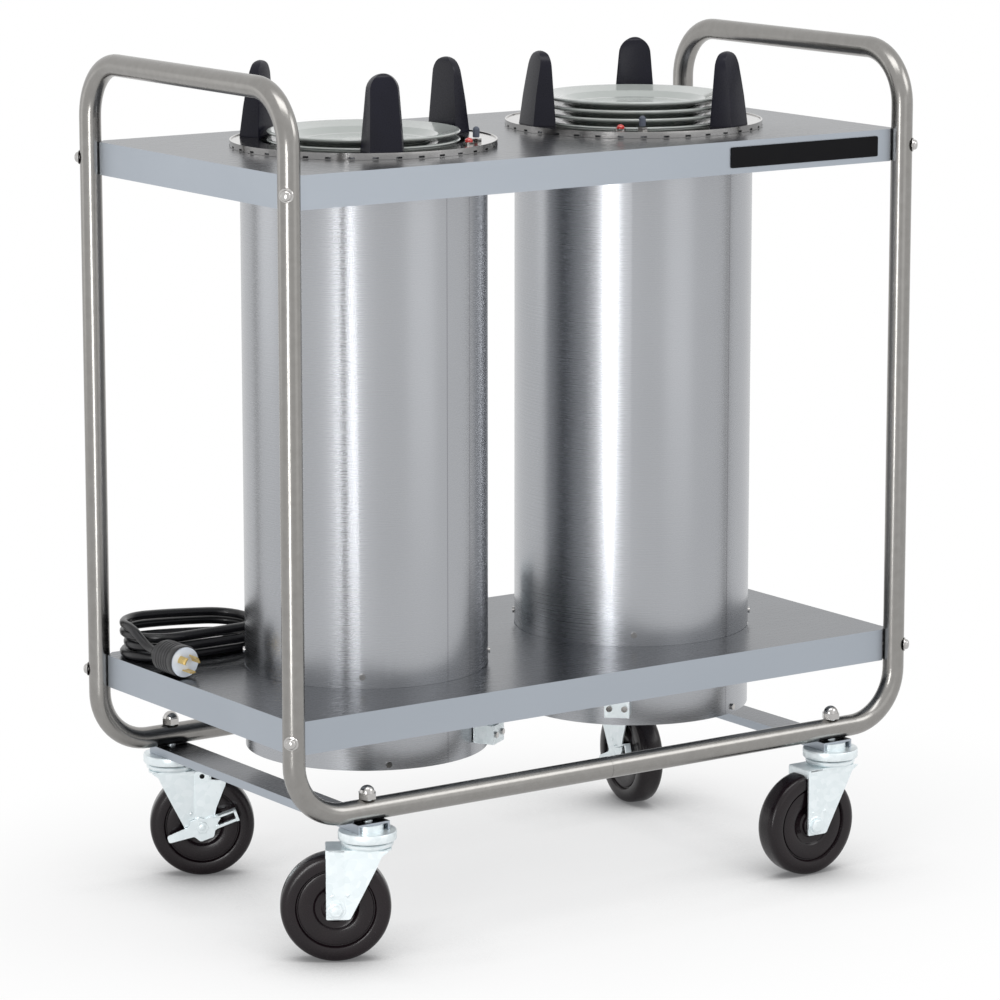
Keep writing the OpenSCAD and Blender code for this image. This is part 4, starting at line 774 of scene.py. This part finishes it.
# %% Bolt domes and plug
half_long, half_deep, post_r, shank_long = 0.428, 0.215, 0.0127, 0.034
dome_profile = [(0.0001, 0.0), (0.0079, 0.0), (0.0083, 0.0006), (0.0078, 0.0014),
                (0.0062, 0.0018), (0.0060, 0.0034), (0.0052, 0.0048), (0.0036, 0.0058),
                (0.0016, 0.0062), (0.0001, 0.0062)]
shank_profile = [(0.0001, -shank_long), (0.0030, -shank_long), (0.0030, 0.0), (0.0001, 0.0)]
parts = []
for sx in (-1, 1):
    for sy in (-1, 1):
        for level in (0.871, 0.265):
            out = Vector((sx, sy, 0)).normalized()
            post = Vector((sx * half_long, sy * half_deep, level))
            parts.append(turned(dome_profile, post + out * (post_r + 0.0001), out, 32))
            parts.append(turned(shank_profile, post + out * post_r, out, 20))
mesh_piece("frame_bolts", *gathered(parts), polished, "cart", "fastener", ["deck_bolts"])

plug_profile = [(0.0001, 0.0029), (0.0177, 0.0029), (0.0184, -0.0006), (0.0190, 0.0008),
                (0.0190, 0.010), (0.0184, 0.0112), (0.0184, 0.0122)]
for i in range(5):
    y = 0.0125 + i * 0.0056
    plug_profile += [(0.0190, y + 0.0006), (0.0190, y + 0.0032), (0.0181, y + 0.0038),
                     (0.0181, y + 0.0052)]
plug_profile += [(0.0186, 0.0420), (0.0180, 0.0440), (0.0150, 0.0456), (0.0128, 0.0470),
                 (0.0112, 0.0540), (0.0098, 0.0600), (0.0088, 0.0620), (0.0052, 0.0620),
                 (0.0001, 0.0620)]
plug = turned(plug_profile, (plug_axis.x, plug_front, plug_axis.z), (0, 1, 0), 56)
mesh_piece("plug_grip", *plug, grip_rubber, "cart", "plug_shell", ["plug_body"])
print("bolt domes and plug grip")

# %% [markdown]
# The studio is a pale floor in a white room, lit by a few soft lamps. Near the cart the floor is
# plain paint that takes the cart's shadow, and it fades to white further out. A patch of shade
# where the floor is hemmed in, as under a wheel, comes from an ambient occlusion node.

# %% Floor
floor_half = 14


def seen_rays(owner):
    """1 for rays that show a thing: straight, through glass or by way of a mirror."""
    rays = add(owner, "ShaderNodeLightPath")
    straight = maths(owner, "MAXIMUM", rays.outputs["Is Camera Ray"],
                     rays.outputs["Is Transmission Ray"])
    return maths(owner, "MAXIMUM", straight, rays.outputs["Is Glossy Ray"])


floor_mesh = bpy.data.meshes.new("floor")
floor_mesh.from_pydata([(x * floor_half, y * floor_half, 0)
                        for x, y in ((-1, -1), (1, -1), (1, 1), (-1, 1))], [], [(0, 1, 2, 3)])
floor = bpy.data.objects.new("floor", floor_mesh)
bpy.context.scene.collection.objects.link(floor)
floor_paint, floor_shader = finish("floor_paint", (0.86, 0.86, 0.86), 0.0, 0.9,
                                   Specular_IOR_Level=0.1)
wire(floor_paint, tinted(floor_paint, stretched_noise(floor_paint, (2, 2, 2)),
                         (0.85, 0.85, 0.85), (0.87, 0.87, 0.87)),
     floor_shader.inputs["Base Color"])
spot = add(floor_paint, "ShaderNodeTexCoord")
flatten = add(floor_paint, "ShaderNodeVectorMath", operation="MULTIPLY")
flatten.inputs[1].default_value = (0.85, 1.25, 0.0)
reach = add(floor_paint, "ShaderNodeVectorMath", operation="LENGTH")
wire(floor_paint, spot.outputs["Object"], flatten.inputs[0])
wire(floor_paint, flatten.outputs[0], reach.inputs[0])
fade = ranged(floor_paint, reach.outputs["Value"], 0.72, 1.0, 0.30, 0.88)
near_things = add(floor_paint, "ShaderNodeAmbientOcclusion", samples=8, Distance=0.19)
open_share = ranged(floor_paint, near_things.outputs["AO"], 0.12, 1.0, 0.36, 0.97)
for eased in (fade, open_share):
    eased.node.interpolation_type = "SMOOTHSTEP"
white = add(floor_paint, "ShaderNodeEmission", Strength=1.0)
wire(floor_paint, tinted(floor_paint, open_share, (0.05, 0.05, 0.055), (1, 1, 1)),
     white.inputs["Color"])
blend = add(floor_paint, "ShaderNodeMixShader")
wire(floor_paint, maths(floor_paint, "MULTIPLY", fade, seen_rays(floor_paint)),
     blend.inputs["Fac"])
wire(floor_paint, floor_shader.outputs[0], blend.inputs[1])
wire(floor_paint, white.outputs[0], blend.inputs[2])
wire(floor_paint, blend.outputs[0],
     floor_paint.node_tree.nodes["Material Output"].inputs["Surface"])
floor_mesh.materials.append(floor_paint)
print("floor laid")

# %% [markdown]
# Steel shows whatever stands round it, so the room that mirrored rays see is the same plain white
# that the camera sees. The light that the room gives to surfaces is a separate, weaker one, which
# leaves the lamps enough to do.

# %% Room
world = bpy.data.worlds.new("studio")
bpy.context.scene.world = world
world.use_nodes = True
world.node_tree.nodes.clear()
backdrop = add(world, "ShaderNodeBackground", Color=(1, 1, 1, 1), Strength=1.0)
felt = add(world, "ShaderNodeBackground", Color=(1, 1, 1, 1), Strength=0.72)
either = add(world, "ShaderNodeMixShader")
out = add(world, "ShaderNodeOutputWorld")
wire(world, seen_rays(world), either.inputs["Fac"])
wire(world, felt.outputs[0], either.inputs[1])
wire(world, backdrop.outputs[0], either.inputs[2])
wire(world, either.outputs[0], out.inputs["Surface"])
bpy.context.scene.view_settings.view_transform = "Standard"
print("room lit")

# %% [markdown]
# The bright upright line on each silo is a narrow lamp at the left, low enough to be mirrored by
# upright steel that is seen from above. A wide lamp at the right makes the broad bands, one
# overhead lights the decks, and two weak ones lift the shaded sides.

# %% Lamps
def lamp(name, place, target, wide, tall, power):
    """A rectangular lamp at a place, turned toward a target."""
    data = bpy.data.lights.new(name, "AREA")
    data.shape, data.size, data.size_y = "RECTANGLE", wide, tall
    data.energy = power
    light = bpy.data.objects.new(name, data)
    bpy.context.scene.collection.objects.link(light)
    light.location = place
    light.rotation_mode = "QUATERNION"
    light.rotation_quaternion = (Vector(target) - Vector(place)).to_track_quat("-Z", "Y")


lamp("key_strip", (-1.6, -1.15, 0.5), (0, 0, 0.5), 0.28, 1.0, 9.0)
lamp("left_fill", (-2.3, 1.9, 0.8), (-0.3, 0, 0.6), 1.2, 1.2, 2.2)
lamp("front_card", (0.35, -1.6, 0.7), (-0.45, -0.2, 0.6), 0.8, 1.0, 0.8)
lamp("right_panel", (1.7, -1.9, 2.2), (0.1, 0, 0.4), 1.6, 1.2, 15.0)
lamp("top_bank", (-0.4, -0.9, 3.0), (0, 0, 0.6), 2.0, 1.0, 19.0)
print("lamps", len(bpy.data.lights))
